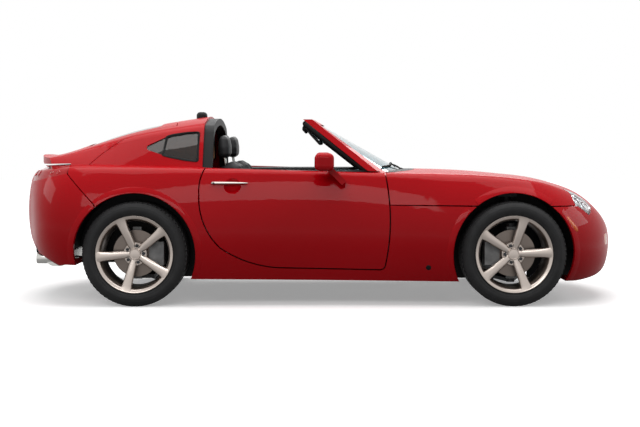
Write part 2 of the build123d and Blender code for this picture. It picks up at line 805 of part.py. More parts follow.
# Front suspension on its crossmember: wishbones with eyes on the steering axis, towers, spring struts
cross_w = 110
cross_y = 400
tower_y = (396, 440)
strut_y = 520
strut_r = 30
eye_r = 26
with BuildPart() as front_suspension:
    block((front_axle_x - cross_w / 2, front_axle_x + cross_w / 2), (-tower_y[1], tower_y[1]), (160, 200))
    for side in (-1, 1):
        block((front_axle_x - 60, front_axle_x + 60), sorted(side * y for y in tower_y), (160, 710))
        block((front_axle_x - 60, front_axle_x + 60), sorted((side * tower_y[1], side * 570)), (690, 710))
        for z, root_x in ((pivot_low_z - 36, 100), (pivot_top_z + 36, 100)):
            with BuildSketch(Plane.XY.offset(z - 11)):
                Polygon(
                    (front_axle_x - root_x, side * tower_y[1] - side * 2),
                    (front_axle_x + root_x, side * tower_y[1] - side * 2),
                    (front_axle_x + 22, side * king_y),
                    (front_axle_x - 22, side * king_y),
                    align=None,
                )
                with Locations((front_axle_x, side * king_y)):
                    Circle(eye_r)
                    Circle(pivot_r + run_fit, mode=Mode.SUBTRACT)
                with Locations((front_axle_x, side * strut_y)):
                    Circle(strut_r + 6, mode=Mode.SUBTRACT if z > axle_z else Mode.ADD)
            extrude(amount=22)
        with Locations((front_axle_x, side * strut_y, pivot_low_z - 30)):
            Cylinder(strut_r, 692 - pivot_low_z + 30, align=(Align.CENTER, Align.CENTER, Align.MIN))
save(front_suspension.part, "front_suspension")

with BuildPart() as rear_suspension:
    block((rear_axle_x - cross_w / 2, rear_axle_x + cross_w / 2), (-cross_y, cross_y), (160, 200))
    for side in (-1, 1):
        block((rear_axle_x - 45, rear_axle_x + 105), sorted((side * cross_y, side * (rear_track_y - 70))), (166, 190))
        with Locations((rear_axle_x + 65, side * strut_y, 180)):
            Cylinder(strut_r, 320, align=(Align.CENTER, Align.CENTER, Align.MIN))
save(rear_suspension.part, "rear_suspension")

# Floor pan with sills, tunnel, bulkheads, hinge posts and rails
floor_z = (172, 192)
tunnel_w = 150
tunnel_z = 430
rail_y = (352, 396)
post_y = (655, 728)
dash_x = 548
beam_x = (1786, 1826)
seat_wall_x = -772
with BuildPart() as floor_pan:
    block((seat_wall_x, dash_x + 16), (-skin_floor_y, skin_floor_y), floor_z)
    block((seat_wall_x, dash_x + 16), (-tunnel_w, tunnel_w), (floor_z[0], tunnel_z))
    block((seat_wall_x - 1, dash_x + 17), (-tunnel_w + 14, tunnel_w - 14), (0, tunnel_z - 14), Mode.SUBTRACT)
    block((dash_x, dash_x + 16), (-650, 650), (floor_z[0], 800))
    block((seat_wall_x, seat_wall_x + 16), (-650, 650), (floor_z[0], 860))
    block((seat_wall_x - 1, dash_x + 17), (-tunnel_w + 14, tunnel_w - 14), (0, tunnel_z - 14), Mode.SUBTRACT)
    for side in (-1, 1):
        block((seat_wall_x, dash_x + 16), sorted((side * 620, side * skin_floor_y)), (floor_z[0], 330))
        block((446, dash_x + 16), sorted(side * y for y in post_y), (floor_z[1], 800))
        block((446, dash_x + 16), sorted((side * 640, side * post_y[1])), (floor_z[1], 330))
        block((dash_x, beam_x[0]), sorted(side * y for y in rail_y), (440, 520))
        block((-1790, seat_wall_x + 16), sorted(side * y for y in rail_y), (420, 500))
    block((-1790, seat_wall_x + 16), (-480, 480), (500, 514))
    block((rear_axle_x - 40, rear_axle_x + 150), (-560, 560), (500, 514))
save(floor_pan.part, "floor_pan")

stay_y = (330, 370)  # stays that carry the bumper
stay_z = (490, 530)
bracket_r = 16
with BuildPart() as bumper_stays:
    for side in (-1, 1):
        block((beam_x[1] - 1, half_length), sorted(side * y for y in stay_y), stay_z)
    add(lower_body(skin_t + touch_fit), mode=Mode.INTERSECT)
with BuildPart() as front_beam:
    block(beam_x, (-390, 390), (485, 545))
    add(bumper_stays.part)
    for side in (-1, 1):
        bracket_y = hood_arm_y + hood_arm_t / 2 + 6
        with BuildSketch(Plane.XZ.offset(-side * bracket_y)):
            top = [(hood_hinge_x + end * bracket_r, hood_hinge_z + 4) for end in (-1, 1)]
            Polygon(*top, (1824, 540), (1788, 540), align=None)
            with Locations((hood_hinge_x, hood_hinge_z)):
                Circle(bracket_r)
        extrude(amount=-side * 10)
        with Locations(Location((hood_hinge_x, side * (hood_arm_y + 6), hood_hinge_z), (90, 0, 0))):
            Cylinder(hood_pin_r, 40)
save(front_beam.part, "front_beam")

# Engine block with its gearbox, propeller shaft with final drive, exhaust
engine_x = (610, 1165)
with BuildPart() as engine:
    block(engine_x, (-240, 240), (230, 720))
    block((engine_x[0] - 40, engine_x[0]), (-170, 170), (230, 480))
    fillet(engine.edges().filter_by(Axis.X), 30)
    block((-60, engine_x[0] - 40), (-110, 110), (262, 400))
    for side in (-1, 1):
        block((900, 980), sorted((side * 240, side * rail_y[0])), (450, 510))
save(engine.part, "engine")

with BuildPart() as driveline:
    block((rear_axle_x - 110, rear_axle_x + 100), (-150, 150), (270, 410))
    with Locations(Location((rear_axle_x + 100, 0, axle_z), (0, 90, 0))):
        Cylinder(32, -60 - rear_axle_x - 100, align=(Align.CENTER, Align.CENTER, Align.MIN))
    for side in (-1, 1):
        with Locations(Location((rear_axle_x, side * 150, axle_z), (-90 * side, 0, 0))):
            Cylinder(16, rear_track_y - 134 - 150, align=(Align.CENTER, Align.CENTER, Align.MIN))
save(driveline.part, "driveline")

pipe_z = 232
with BuildPart() as exhaust:
    with Locations((-1760, -150, 290)):
        Box(150, 620, 140)
    fillet(exhaust.edges().filter_by(Axis.Y), 50)
    with Locations(Location((-1690, -75, pipe_z), (0, 90, 0))):
        Cylinder(24, engine_x[0] - 40 + 1690, align=(Align.CENTER, Align.CENTER, Align.MIN))
    block((-1770, -1750), (-380, -368), (340, 420))
save(exhaust.part, "exhaust")

# Wheel liners
liner_r = 394
liner_t = 6
liner_outer_y = 815
liner_low_z = 362
arm_slot_z = (490, 540)
Liner = namedtuple("Liner", "x wall_y foot_y foot_z")
liner_rows = [Liner(front_axle_x, 456, 545, 710), Liner(rear_axle_x, 600, 545, 514)]
with BuildPart() as liners:
    for row in liner_rows:
        for side in (-1, 1):
            with Locations(Plane(origin=(row.x, side * row.wall_y, axle_z), z_dir=(0, side, 0))):
                Cylinder(liner_r + liner_t, liner_outer_y - row.wall_y, align=(Align.CENTER, Align.CENTER, Align.MIN))
    for row in liner_rows:
        for side in (-1, 1):
            with Locations(Plane(origin=(row.x, side * (row.wall_y + liner_t), axle_z), z_dir=(0, side, 0))):
                Cylinder(liner_r, reach, align=(Align.CENTER, Align.CENTER, Align.MIN), mode=Mode.SUBTRACT)
    block((-reach * 2, reach * 2), (-reach, reach), (-reach, liner_low_z), Mode.SUBTRACT)
    block((front_axle_x - 130, front_axle_x + 130), (-reach, reach), arm_slot_z, Mode.SUBTRACT)
    block((front_axle_x - 75, front_axle_x + 75), (-595, 595), (680, 720), Mode.SUBTRACT)
    add(lower_body(skin_t + 8), mode=Mode.INTERSECT)
    for row in liner_rows:
        for side in (-1, 1):
            foot_y = sorted((side * row.foot_y, side * max(row.wall_y + liner_t, row.foot_y + 30)))
            block((row.x - 20, row.x + 20), foot_y, (row.foot_z, axle_z + liner_r + 3))
save(liners.part, "wheel_liners")

# Cabin
seat_y = 385
seat_w = 440
seat_profile = [(120, 230), (130, 395), (60, 420), (-330, 370), (-520, 900), (-640, 930), (-660, 880), (-470, 230)]
head_profile = [(-560, 905), (-600, 1090), (-690, 1100), (-690, 930), (-640, 905)]
with BuildPart() as seats:
    for side in (-1, 1):
        for profile, width in ((seat_profile, seat_w), (head_profile, 280)):
            with BuildSketch(Plane.XZ.offset(-side * seat_y)):
                Polygon(*profile, align=None)
                fillet(vertices(), 22)
            extrude(amount=width / 2, both=True)
        block((-400, 60), sorted((side * (seat_y - 170), side * (seat_y + 170))), (floor_z[1], 240))
save(seats.part, "seats")

with BuildPart() as dashboard:
    with BuildSketch(Plane.XZ):
        with BuildLine():
            Polyline((dash_x, 560), (dash_x, 815), (440, 838))
            ThreePointArc((440, 838), (320, 810), (275, 720))
            Polyline((275, 720), (330, 560), (dash_x, 560))
        make_face()
    extrude(amount=650, both=True)
    block((-560, 330), (-115, 115), (tunnel_z, 520))
    block((320, dash_x), (-115, 115), (tunnel_z, 600))
    add(cowl, mode=Mode.SUBTRACT)
save(dashboard.part, "dashboard")

wheel_y = seat_y
column_tilt = 22
with BuildPart() as steering_wheel:
    hub = Plane(origin=(95, wheel_y, 690), x_dir=(0, 1, 0), z_dir=(-cos(radians(column_tilt)), 0, sin(radians(column_tilt))))
    with Locations(hub):
        Torus(178, 15)
        Cylinder(62, 40)
        Box(360, 30, 16)
        with Locations((0, 0, 0)):
            Cylinder(26, 215, align=(Align.CENTER, Align.CENTER, Align.MAX))
save(steering_wheel.part, "steering_wheel")

pod_x = -830
with BuildPart() as antenna:
    with Locations((pod_x, 0, 1205)):
        Cylinder(38, 58, align=(Align.CENTER, Align.CENTER, Align.MIN))
    fillet(antenna.edges().group_by(Axis.Z)[-1], 26)
    add(outer.part, mode=Mode.SUBTRACT)
save(antenna.part, "antenna")
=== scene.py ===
import json
from math import cos, exp, pi, radians, sin

import bmesh
import bpy
from mathutils import Matrix, Vector
from mathutils.bvhtree import BVHTree


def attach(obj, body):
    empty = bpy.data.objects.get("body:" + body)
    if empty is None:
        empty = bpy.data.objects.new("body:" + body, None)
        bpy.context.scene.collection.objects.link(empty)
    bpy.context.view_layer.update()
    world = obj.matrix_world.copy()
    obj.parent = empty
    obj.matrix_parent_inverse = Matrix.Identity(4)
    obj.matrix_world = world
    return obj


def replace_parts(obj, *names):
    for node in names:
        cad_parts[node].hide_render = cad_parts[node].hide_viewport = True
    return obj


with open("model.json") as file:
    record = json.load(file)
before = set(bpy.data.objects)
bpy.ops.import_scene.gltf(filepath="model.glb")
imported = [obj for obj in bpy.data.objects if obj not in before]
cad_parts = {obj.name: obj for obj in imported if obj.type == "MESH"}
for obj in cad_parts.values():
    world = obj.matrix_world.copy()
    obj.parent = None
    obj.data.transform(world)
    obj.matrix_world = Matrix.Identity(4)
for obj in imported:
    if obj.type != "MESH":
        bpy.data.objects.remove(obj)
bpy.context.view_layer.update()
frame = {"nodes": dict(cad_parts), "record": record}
nodes = frame["nodes"]
print("frame loaded:", len(nodes), "nodes")

# shared places, metres, as in the CAD
axleX = {"front": 1.236, "rear": -1.180}
halfTrack = {"front": 0.768, "rear": 0.778}
axleZ = 0.334
wheelNames = ["front_right", "front_left", "rear_right", "rear_left"]
carSides = (("right", -1), ("left", 1))


def hexColor(code, alpha=1.0):
    channels = [int(code[i:i + 2], 16) / 255 for i in (1, 3, 5)]
    return [c / 12.92 if c <= 0.04045 else ((c + 0.055) / 1.055) ** 2.4 for c in channels] + [alpha]


def addNode(tree, kind, inputs=None, **settings):
    node = tree.nodes.new(kind)
    for key, value in settings.items():
        setattr(node, key, value)
    for key, value in (inputs or {}).items():
        if isinstance(value, bpy.types.NodeSocket):
            tree.links.new(value, node.inputs[key])
        else:
            node.inputs[key].default_value = value
    return node


def startMaterial(name, color, **sockets):
    material = bpy.data.materials.new(name)
    material.use_nodes = True
    tree = material.node_tree
    shader = tree.nodes["Principled BSDF"]
    shader.inputs["Base Color"].default_value = hexColor(color)
    for key, value in sockets.items():
        shader.inputs[key.replace("_", " ")].default_value = value
    coords = addNode(tree, "ShaderNodeTexCoord").outputs["Object"]
    return material, tree, shader, coords


def grainBump(tree, shader, coords, size, strength, depth, kind="noise"):
    # size is the grain's real width in metres
    if kind == "cells":
        texture = addNode(tree, "ShaderNodeTexVoronoi", {"Vector": coords, "Scale": 1 / size})
        height = texture.outputs["Distance"]
    else:
        texture = addNode(tree, "ShaderNodeTexNoise", {"Vector": coords, "Scale": 1 / size, "Detail": 3.0})
        height = texture.outputs["Fac"]
    bump = addNode(tree, "ShaderNodeBump", {"Height": height, "Strength": strength, "Distance": depth})
    tree.links.new(bump.outputs["Normal"], shader.inputs["Normal"])


def mottle(tree, shader, coords, size, dark, light):
    # slow change of colour over the piece, as handling and dust leave it
    noise = addNode(tree, "ShaderNodeTexNoise", {"Vector": coords, "Scale": 1 / size, "Detail": 4.0})
    ramp = addNode(tree, "ShaderNodeValToRGB", {"Fac": noise.outputs["Fac"]})
    ramp.color_ramp.elements[0].position = 0.3
    ramp.color_ramp.elements[1].position = 0.7
    ramp.color_ramp.elements[0].color = hexColor(dark)
    ramp.color_ramp.elements[1].color = hexColor(light)
    tree.links.new(ramp.outputs["Color"], shader.inputs["Base Color"])


def roughSpread(tree, shader, coords, size, low, high):
    noise = addNode(tree, "ShaderNodeTexNoise", {"Vector": coords, "Scale": 1 / size, "Detail": 3.0})
    spread = addNode(tree, "ShaderNodeMapRange", {"Value": noise.outputs["Fac"], "To Min": low,
                                                  "To Max": high})
    tree.links.new(spread.outputs["Result"], shader.inputs["Roughness"])


mats = {}


def addFinish(slot, name, color, mottled=None, rough=None, grain=None, **sockets):
    mats[slot], tree, shader, coords = startMaterial(name, color, **sockets)
    if mottled:
        mottle(tree, shader, coords, *mottled)
    if rough:
        roughSpread(tree, shader, coords, *rough)
    if grain:
        grainBump(tree, shader, coords, *grain)


# two-stage red enamel: deep colour coat under clear lacquer, faint orange peel in the lacquer
mats["paint"], tree, shader, coords = startMaterial(
    "redEnamel", "#ac000c", Roughness=0.5, Coat_Weight=0.32, Coat_Roughness=0.03, Coat_IOR=1.36,
    Specular_IOR_Level=0.02)
peel = addNode(tree, "ShaderNodeTexNoise", {"Vector": coords, "Scale": 1 / 0.009, "Detail": 1.0})
peelBump = addNode(tree, "ShaderNodeBump", {"Height": peel.outputs["Fac"], "Strength": 0.035,
                                            "Distance": 0.0006})
tree.links.new(peelBump.outputs["Normal"], shader.inputs["Coat Normal"])
mottle(tree, shader, coords, 0.9, "#a8000b", "#b0000e")

# tyre tread and sidewall: carbon-black rubber, dull, a little grey dust
addFinish("tyre", "tyreRubber", "#161617", mottled=(0.06, "#121213", "#1f1f20"),
          grain=(0.0025, 0.25, 0.0006), Roughness=0.72, Specular_IOR_Level=0.35)

# EPDM seal rubber: soft black with a low sheen
addFinish("seal", "sealRubber", "#080808", grain=(0.002, 0.2, 0.0004), Roughness=0.65,
          Specular_IOR_Level=0.15)

# lacquered cast alloy: satin silver with a warm tint
addFinish("alloy", "lacqueredAlloy", "#b9aea6", rough=(0.02, 0.24, 0.36), grain=(0.0035, 0.05, 0.0003),
          Metallic=1.0, Roughness=0.3, Coat_Weight=0.35, Coat_Roughness=0.12)

# turned brake steel: bright grey with swept rubbing marks
addFinish("disc", "turnedSteel", "#6f6660", rough=(0.012, 0.25, 0.45), grain=(0.003, 0.12, 0.0003),
          Metallic=1.0, Roughness=0.34)

# pressed steel with a satin black underbody coat
addFinish("steel", "coatedSteel", "#26272a", mottled=(0.15, "#1f2022", "#303135"),
          grain=(0.006, 0.3, 0.0008), Metallic=0.3, Roughness=0.55)

# sand-cast iron and alloy castings: grey, grainy
addFinish("cast", "sandCasting", "#6a6a6b", mottled=(0.08, "#575757", "#7a7a7a"),
          grain=(0.002, 0.4, 0.0007), Metallic=0.75, Roughness=0.55)

# moulded black ABS with a fine spark-eroded grain
addFinish("black_plastic", "grainedAbs", "#0b0b0c", grain=(0.0016, 0.3, 0.0004), Roughness=0.55,
          Specular_IOR_Level=0.2)

# soft-touch cabin polymer: charcoal with a leather-like grain
addFinish("cabin_plastic", "cabinPolymer", "#161618", mottled=(0.2, "#131315", "#19191b"),
          grain=(0.003, 0.35, 0.0006, "cells"), Roughness=0.6, Specular_IOR_Level=0.25)

# bright chrome plate over plastic
addFinish("chrome", "chromePlate", "#aaa49e", rough=(0.05, 0.04, 0.09), Metallic=1.0, Roughness=0.12)

# polished stainless tube
addFinish("stainless", "polishedStainless", "#c9c8c4", rough=(0.015, 0.1, 0.24), Metallic=1.0,
          Roughness=0.16)

# grained black leather: fine pebble cells, slight sheen
addFinish("leather", "pebbledLeather", "#19191b", mottled=(0.12, "#151517", "#1f1f21"),
          grain=(0.0035, 0.4, 0.0007, "cells"), Roughness=0.5, Specular_IOR_Level=0.3)

# bonded polyester sewing thread, dark grey
addFinish("thread", "sewingThread", "#3a3a3d", grain=(0.0008, 0.4, 0.0002), Roughness=0.7)

# laminated clear float glass with a pale blue tint
addFinish("glass", "screenGlass", "#b4d6de", rough=(0.3, 0.0, 0.006), Roughness=0.0,
          Transmission_Weight=1.0, IOR=1.45)

# solar-tinted side glass: brown
addFinish("tinted_glass", "smokedGlass", "#553c2c", rough=(0.3, 0.0, 0.01), Roughness=0.0,
          Transmission_Weight=0.92, IOR=1.45)

# moulded acrylic lamp covers
addFinish("lens", "clearAcrylic", "#f1f4f5", rough=(0.1, 0.0, 0.03), Roughness=0.02,
          Transmission_Weight=1.0, IOR=1.3)
addFinish("red_lens", "redAcrylic", "#b0060e", grain=(0.008, 0.25, 0.0008, "cells"), Roughness=0.12,
          Transmission_Weight=0.2, IOR=1.49, Specular_IOR_Level=0.2)
addFinish("amber_lens", "amberAcrylic", "#dd5c04", grain=(0.006, 0.3, 0.0008, "cells"), Roughness=0.12,
          Transmission_Weight=0.15, IOR=1.49, Specular_IOR_Level=0.2)

# vacuum-metallised lamp bowl
addFinish("bowl", "lampBowl", "#d6d8da", rough=(0.02, 0.08, 0.18), Metallic=1.0, Roughness=0.12)

# silvered mirror plate
addFinish("mirror", "silveredGlass", "#e8ecef", rough=(0.2, 0.01, 0.03), Metallic=1.0, Roughness=0.02)
print("finishes:", len(mats))

# CAD nodes keep their meshes and take the finishes
slotOf = {row["node"]: row["material_slot"] for row in frame["record"]["subparts"]}
special = {"exhaust": "stainless", "wheel_liners": "black_plastic"}
for name, obj in nodes.items():
    finish = special.get(name) or ("disc" if name.startswith("disc_") else slotOf[name])
    obj.data.materials.clear()
    obj.data.materials.append(mats[finish])


def makePiece(name, verts, faces, finish, body, angle=35, turnOut=True):
    mesh = bpy.data.meshes.new(name)
    mesh.from_pydata([tuple(v) for v in verts], [], faces)
    work = bmesh.new()
    work.from_mesh(mesh)
    bmesh.ops.remove_doubles(work, verts=work.verts, dist=1e-6)
    if turnOut:
        bmesh.ops.recalc_face_normals(work, faces=work.faces)
    work.to_mesh(mesh)
    work.free()
    return settle(bpy.data.objects.new(name, mesh), finish, body, angle=angle)


def settle(obj, finish, body, angle=35):
    if obj.name not in bpy.context.scene.collection.objects:
        bpy.context.scene.collection.objects.link(obj)
    obj.data.materials.clear()
    obj.data.materials.append(mats[finish])
    obj.data.polygons.foreach_set("use_smooth", [True] * len(obj.data.polygons))
    obj.data.set_sharp_from_angle(angle=radians(angle))
    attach(obj, body)
    return obj


def loftRings(rings, closed=True, caps=True):
    verts = [p for ring in rings for p in ring]
    count = len(rings[0])
    faces = []
    for i in range(len(rings) - 1):
        for j in range(count if closed else count - 1):
            k = (j + 1) % count
            faces.append((i * count + j, i * count + k, (i + 1) * count + k, (i + 1) * count + j))
    if caps and closed:
        faces.append(tuple(reversed(range(count))))
        faces.append(tuple(range((len(rings) - 1) * count, len(rings) * count)))
    return verts, faces


def joinShapes(shapes):
    verts, faces = [], []
    for v, f in shapes:
        base = len(verts)
        verts += v
        faces += [tuple(i + base for i in face) for face in f]
    return verts, faces


def wheelPoint(wheel, x, z, out):
    # wheel's own frame (x, z across the wheel, out away from the car) to the car's frame
    end, side = wheel.split("_")
    sign = -1 if side == "right" else 1
    return Vector((axleX[end] + x, sign * (halfTrack[end] + out), axleZ + z))


def latheWheel(wheel, profile, steps, loop=True):
    rings = []
    for i in range(steps):
        a = 2 * pi * i / steps
        rings.append([wheelPoint(wheel, r * cos(a), r * sin(a), out) for r, out in profile])
    rings.append(rings[0])
    return loftRings(rings, closed=loop, caps=False)


def tubeMesh(name, points, radius):
    curve = bpy.data.curves.new(name, "CURVE")
    curve.dimensions = "3D"
    curve.bevel_depth = radius
    curve.bevel_resolution = 4
    curve.use_fill_caps = True
    spline = curve.splines.new("NURBS")
    spline.points.add(len(points) - 1)
    for point, place in zip(spline.points, points):
        point.co = (*place, 1)
    spline.order_u = 3
    spline.use_endpoint_u = True
    spline.resolution_u = 6
    holder = bpy.data.objects.new(name, curve)
    bpy.context.scene.collection.objects.link(holder)
    mesh = bpy.data.meshes.new_from_object(holder.evaluated_get(bpy.context.evaluated_depsgraph_get()))
    bpy.data.objects.remove(holder)
    bpy.data.curves.remove(curve)
    mesh.name = name
    return bpy.data.objects.new(name, mesh)


def nodeTree(name, **inputs):
    # inputs give a kind of socket and the labels of that kind
    tree = bpy.data.node_groups.new(name, "GeometryNodeTree")
    keys = {}
    for kind, labels in {**inputs, "Material": ["Finish"]}.items():
        for label in labels:
            socket = tree.interface.new_socket(name=label, in_out="INPUT", socket_type="NodeSocket" + kind)
            keys[label] = socket.identifier
    tree.interface.new_socket(name="Geometry", in_out="OUTPUT", socket_type="NodeSocketGeometry")
    return tree, keys, addNode(tree, "NodeGroupInput")


def ringPoints(tree, entry, radius, out):
    # points evenly spaced on a ring about Y, with the angle at each
    line = addNode(tree, "GeometryNodeMeshLine", {"Count": entry.outputs["Count"], "Offset": (0, 0, 0)})
    index = addNode(tree, "GeometryNodeInputIndex")
    step = addNode(tree, "ShaderNodeMath", {0: 2 * pi, 1: entry.outputs["Count"]}, operation="DIVIDE")
    terms = {0: index.outputs[0], 1: step.outputs[0], 2: entry.outputs["Turn"]}
    angle = addNode(tree, "ShaderNodeMath", terms, operation="MULTIPLY_ADD")
    place = {"Y": entry.outputs[out]}
    for axis, wave in (("X", "COSINE"), ("Z", "SINE")):
        share = addNode(tree, "ShaderNodeMath", {0: angle.outputs[0]}, operation=wave)
        place[axis] = addNode(tree, "ShaderNodeMath", {0: share.outputs[0], 1: entry.outputs[radius]},
                              operation="MULTIPLY").outputs[0]
    where = addNode(tree, "ShaderNodeCombineXYZ", place)
    spots = addNode(tree, "GeometryNodeSetPosition",
                    {"Geometry": line.outputs["Mesh"], "Position": where.outputs[0]})
    return spots.outputs["Geometry"], angle.outputs[0]


def endTree(tree, entry, points, shape, rotation=None):
    # shape at every point, made real and dyed
    inputs = {"Points": points, "Instance": shape}
    if rotation:
        inputs["Rotation"] = rotation
    placed = addNode(tree, "GeometryNodeInstanceOnPoints", inputs)
    real = addNode(tree, "GeometryNodeRealizeInstances", {"Geometry": placed.outputs["Instances"]})
    dyed = addNode(tree, "GeometryNodeSetMaterial",
                   {"Geometry": real.outputs["Geometry"], "Material": entry.outputs["Finish"]})
    addNode(tree, "NodeGroupOutput", {"Geometry": dyed.outputs["Geometry"]})


def growPiece(name, tree, keys, values, finish, body, place=None):
    holder = bpy.data.objects.new(name, bpy.data.meshes.new(name))
    bpy.context.scene.collection.objects.link(holder)
    modifier = holder.modifiers.new("grow", "NODES")
    modifier.node_group = tree
    for label, value in values.items():
        modifier[keys[label]] = value
    modifier[keys["Finish"]] = mats[finish]
    mesh = bpy.data.meshes.new_from_object(holder.evaluated_get(bpy.context.evaluated_depsgraph_get()))
    bpy.data.objects.remove(holder)
    if place:
        mesh.transform(place)
        mesh.update()
    return settle(bpy.data.objects.new(name, mesh), finish, body)


# body surfaces that trim is laid on
paintTrees = {}
laidOn = ["front_wings", "front_bumper", "rear_bumper", "body_side_right", "body_side_left", "hood", "roof",
          "tail_lamps", "windscreen", "headlamps", "mirror_right", "mirror_left", "quarter_windows"]
for name in laidOn:
    mesh = nodes[name].data
    paintTrees[name] = BVHTree.FromPolygons([v.co for v in mesh.vertices],
                                            [tuple(p.vertices) for p in mesh.polygons])


def castOn(names, origin, direction, reach=3.0):
    best = None
    for name in names:
        hit, normal, _, distance = paintTrees[name].ray_cast(Vector(origin), Vector(direction), reach)
        if hit and (best is None or distance < best[2]):
            best = (hit, normal if normal.dot(Vector(direction)) < 0 else -normal, distance, name)
    return best


# tyres
tyreShape = {
    "carcass": 0.3275, "tread": 0.334, "ribs": [(-0.078, 0.034), (-0.039, 0.03), (0.0, 0.028),
                                                (0.039, 0.03), (0.078, 0.034)],
    "pitch": 66, "blockShare": 0.86, "steps": 120,
}
tyreProfile = [
    (0.2285, -0.098), (0.250, -0.1025), (0.262, -0.1125), (0.268, -0.1165), (0.2695, -0.1158),
    (0.272, -0.1177), (0.285, -0.1198), (0.297, -0.1192), (0.2985, -0.1182), (0.301, -0.1185),
    (0.312, -0.1125), (0.3185, -0.107), (0.3265, -0.099), (0.3275, -0.092), (0.3275, 0.092),
    (0.3265, 0.099), (0.3185, 0.107), (0.312, 0.1125), (0.301, 0.1185), (0.2985, 0.1182), (0.297, 0.1192),
    (0.285, 0.1198), (0.272, 0.1177), (0.2695, 0.1158), (0.268, 0.1165), (0.262, 0.1125), (0.250, 0.1025),
    (0.2285, 0.098),
]
treadFloats = ["Radius", "Width", "Length", "Depth", "Offset", "Turn", "Slant"]
tree, keys, entry = nodeTree("treadRing", Int=["Count"], Float=treadFloats)
spots, angleNow = ringPoints(tree, entry, "Radius", "Offset")
size = addNode(tree, "ShaderNodeCombineXYZ", {"X": entry.outputs["Depth"], "Y": entry.outputs["Width"],
                                              "Z": entry.outputs["Length"]})
cube = addNode(tree, "GeometryNodeMeshCube", {"Size": size.outputs[0]})
lean = addNode(tree, "ShaderNodeCombineXYZ", {"X": entry.outputs["Slant"]})
leaned = addNode(tree, "GeometryNodeTransform", {"Geometry": cube.outputs["Mesh"],
                                                 "Rotation": lean.outputs[0]})
minus = addNode(tree, "ShaderNodeMath", {0: angleNow, 1: -1.0}, operation="MULTIPLY")
spin = addNode(tree, "ShaderNodeCombineXYZ", {"Y": minus.outputs[0]})
endTree(tree, entry, spots, leaned.outputs["Geometry"], spin.outputs[0])
treadTree, treadKeys = tree, keys


def joinObjects(name, objects, finish, body):
    whole = bmesh.new()
    for o in objects:
        whole.from_mesh(o.data)
        bpy.data.objects.remove(o)
    mesh = bpy.data.meshes.new(name)
    whole.to_mesh(mesh)
    whole.free()
    return settle(bpy.data.objects.new(name, mesh), finish, body)


for wheel in wheelNames:
    end, side = wheel.split("_")
    sign = -1 if side == "right" else 1
    place = Matrix.Translation((axleX[end], sign * halfTrack[end], axleZ))
    verts, faces = latheWheel(wheel, tyreProfile, tyreShape["steps"])
    carcass = makePiece("carcass_" + wheel, verts, faces, "tyre", "wheel_" + wheel)
    blocks = []
    depth = tyreShape["tread"] - tyreShape["carcass"] + 0.004
    for row, (offset, width) in enumerate(tyreShape["ribs"]):
        pitch = 2 * pi * tyreShape["tread"] / tyreShape["pitch"]
        blocks.append(growPiece(f"tread{row}_{wheel}", treadTree, treadKeys, {
            "Count": tyreShape["pitch"], "Radius": tyreShape["tread"] - 0.0007 - depth / 2, "Width": width,
            "Length": pitch * (tyreShape["blockShare"] if row != 2 else 0.97), "Depth": depth,
            "Offset": offset, "Turn": 0.03 * row, "Slant": 0.25 * (row - 2)},
            "tyre", "wheel_" + wheel, place))
    tyre = joinObjects("roadTyre_" + wheel, [carcass] + blocks, "tyre", "wheel_" + wheel)
    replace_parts(tyre, "tyre_" + wheel)
print("tyres done")

# alloy rims: lathe-turned barrel and lip, five crowned spokes, hub and lug seats
rimShape = {
    "spokes": 5, "frontTurn": 2.5, "rearTurn": 40, "lugCircle": 0.055,
    "lip": [(0.2277, -0.099), (0.2277, 0.099), (0.2445, 0.1025), (0.2470, 0.1050), (0.2472, 0.1085),
            (0.2450, 0.1105), (0.2405, 0.1095), (0.2370, 0.1062), (0.2310, 0.1035), (0.2255, 0.0985),
            (0.2190, 0.0830), (0.2120, 0.0550), (0.2075, 0.0150), (0.2060, -0.0600), (0.2090, -0.0900),
            (0.2300, -0.1050), (0.2450, -0.1075), (0.2465, -0.1040)],
    "spokeRows": [(0.020, 0.046, 0.0700, 0.036), (0.058, 0.047, 0.0765, 0.036),
                  (0.090, 0.049, 0.0850, 0.042), (0.130, 0.052, 0.0925, 0.050),
                  (0.170, 0.056, 0.0985, 0.058), (0.205, 0.062, 0.1030, 0.064),
                  (0.222, 0.070, 0.1055, 0.078), (0.2395, 0.088, 0.1098, 0.104)],
}


def spokeRings(wheel, turn):
    rings = []
    for r, width, face, back in rimShape["spokeRows"]:
        h = width / 2
        outline = [(-h, back), (-h - 0.0005, face - 0.012), (-h + 0.0045, face - 0.0045),
                   (-h * 0.5, face - 0.0008), (0, face),
                   (h * 0.5, face - 0.0008), (h - 0.0045, face - 0.0045), (h + 0.0005, face - 0.012),
                   (h, back), (0, back - 0.004)]
        ring = []
        for across, out in outline:
            x = r * cos(turn) - across * sin(turn)
            z = r * sin(turn) + across * cos(turn)
            ring.append(wheelPoint(wheel, x, z, out))
        rings.append(ring)
    return loftRings(rings)


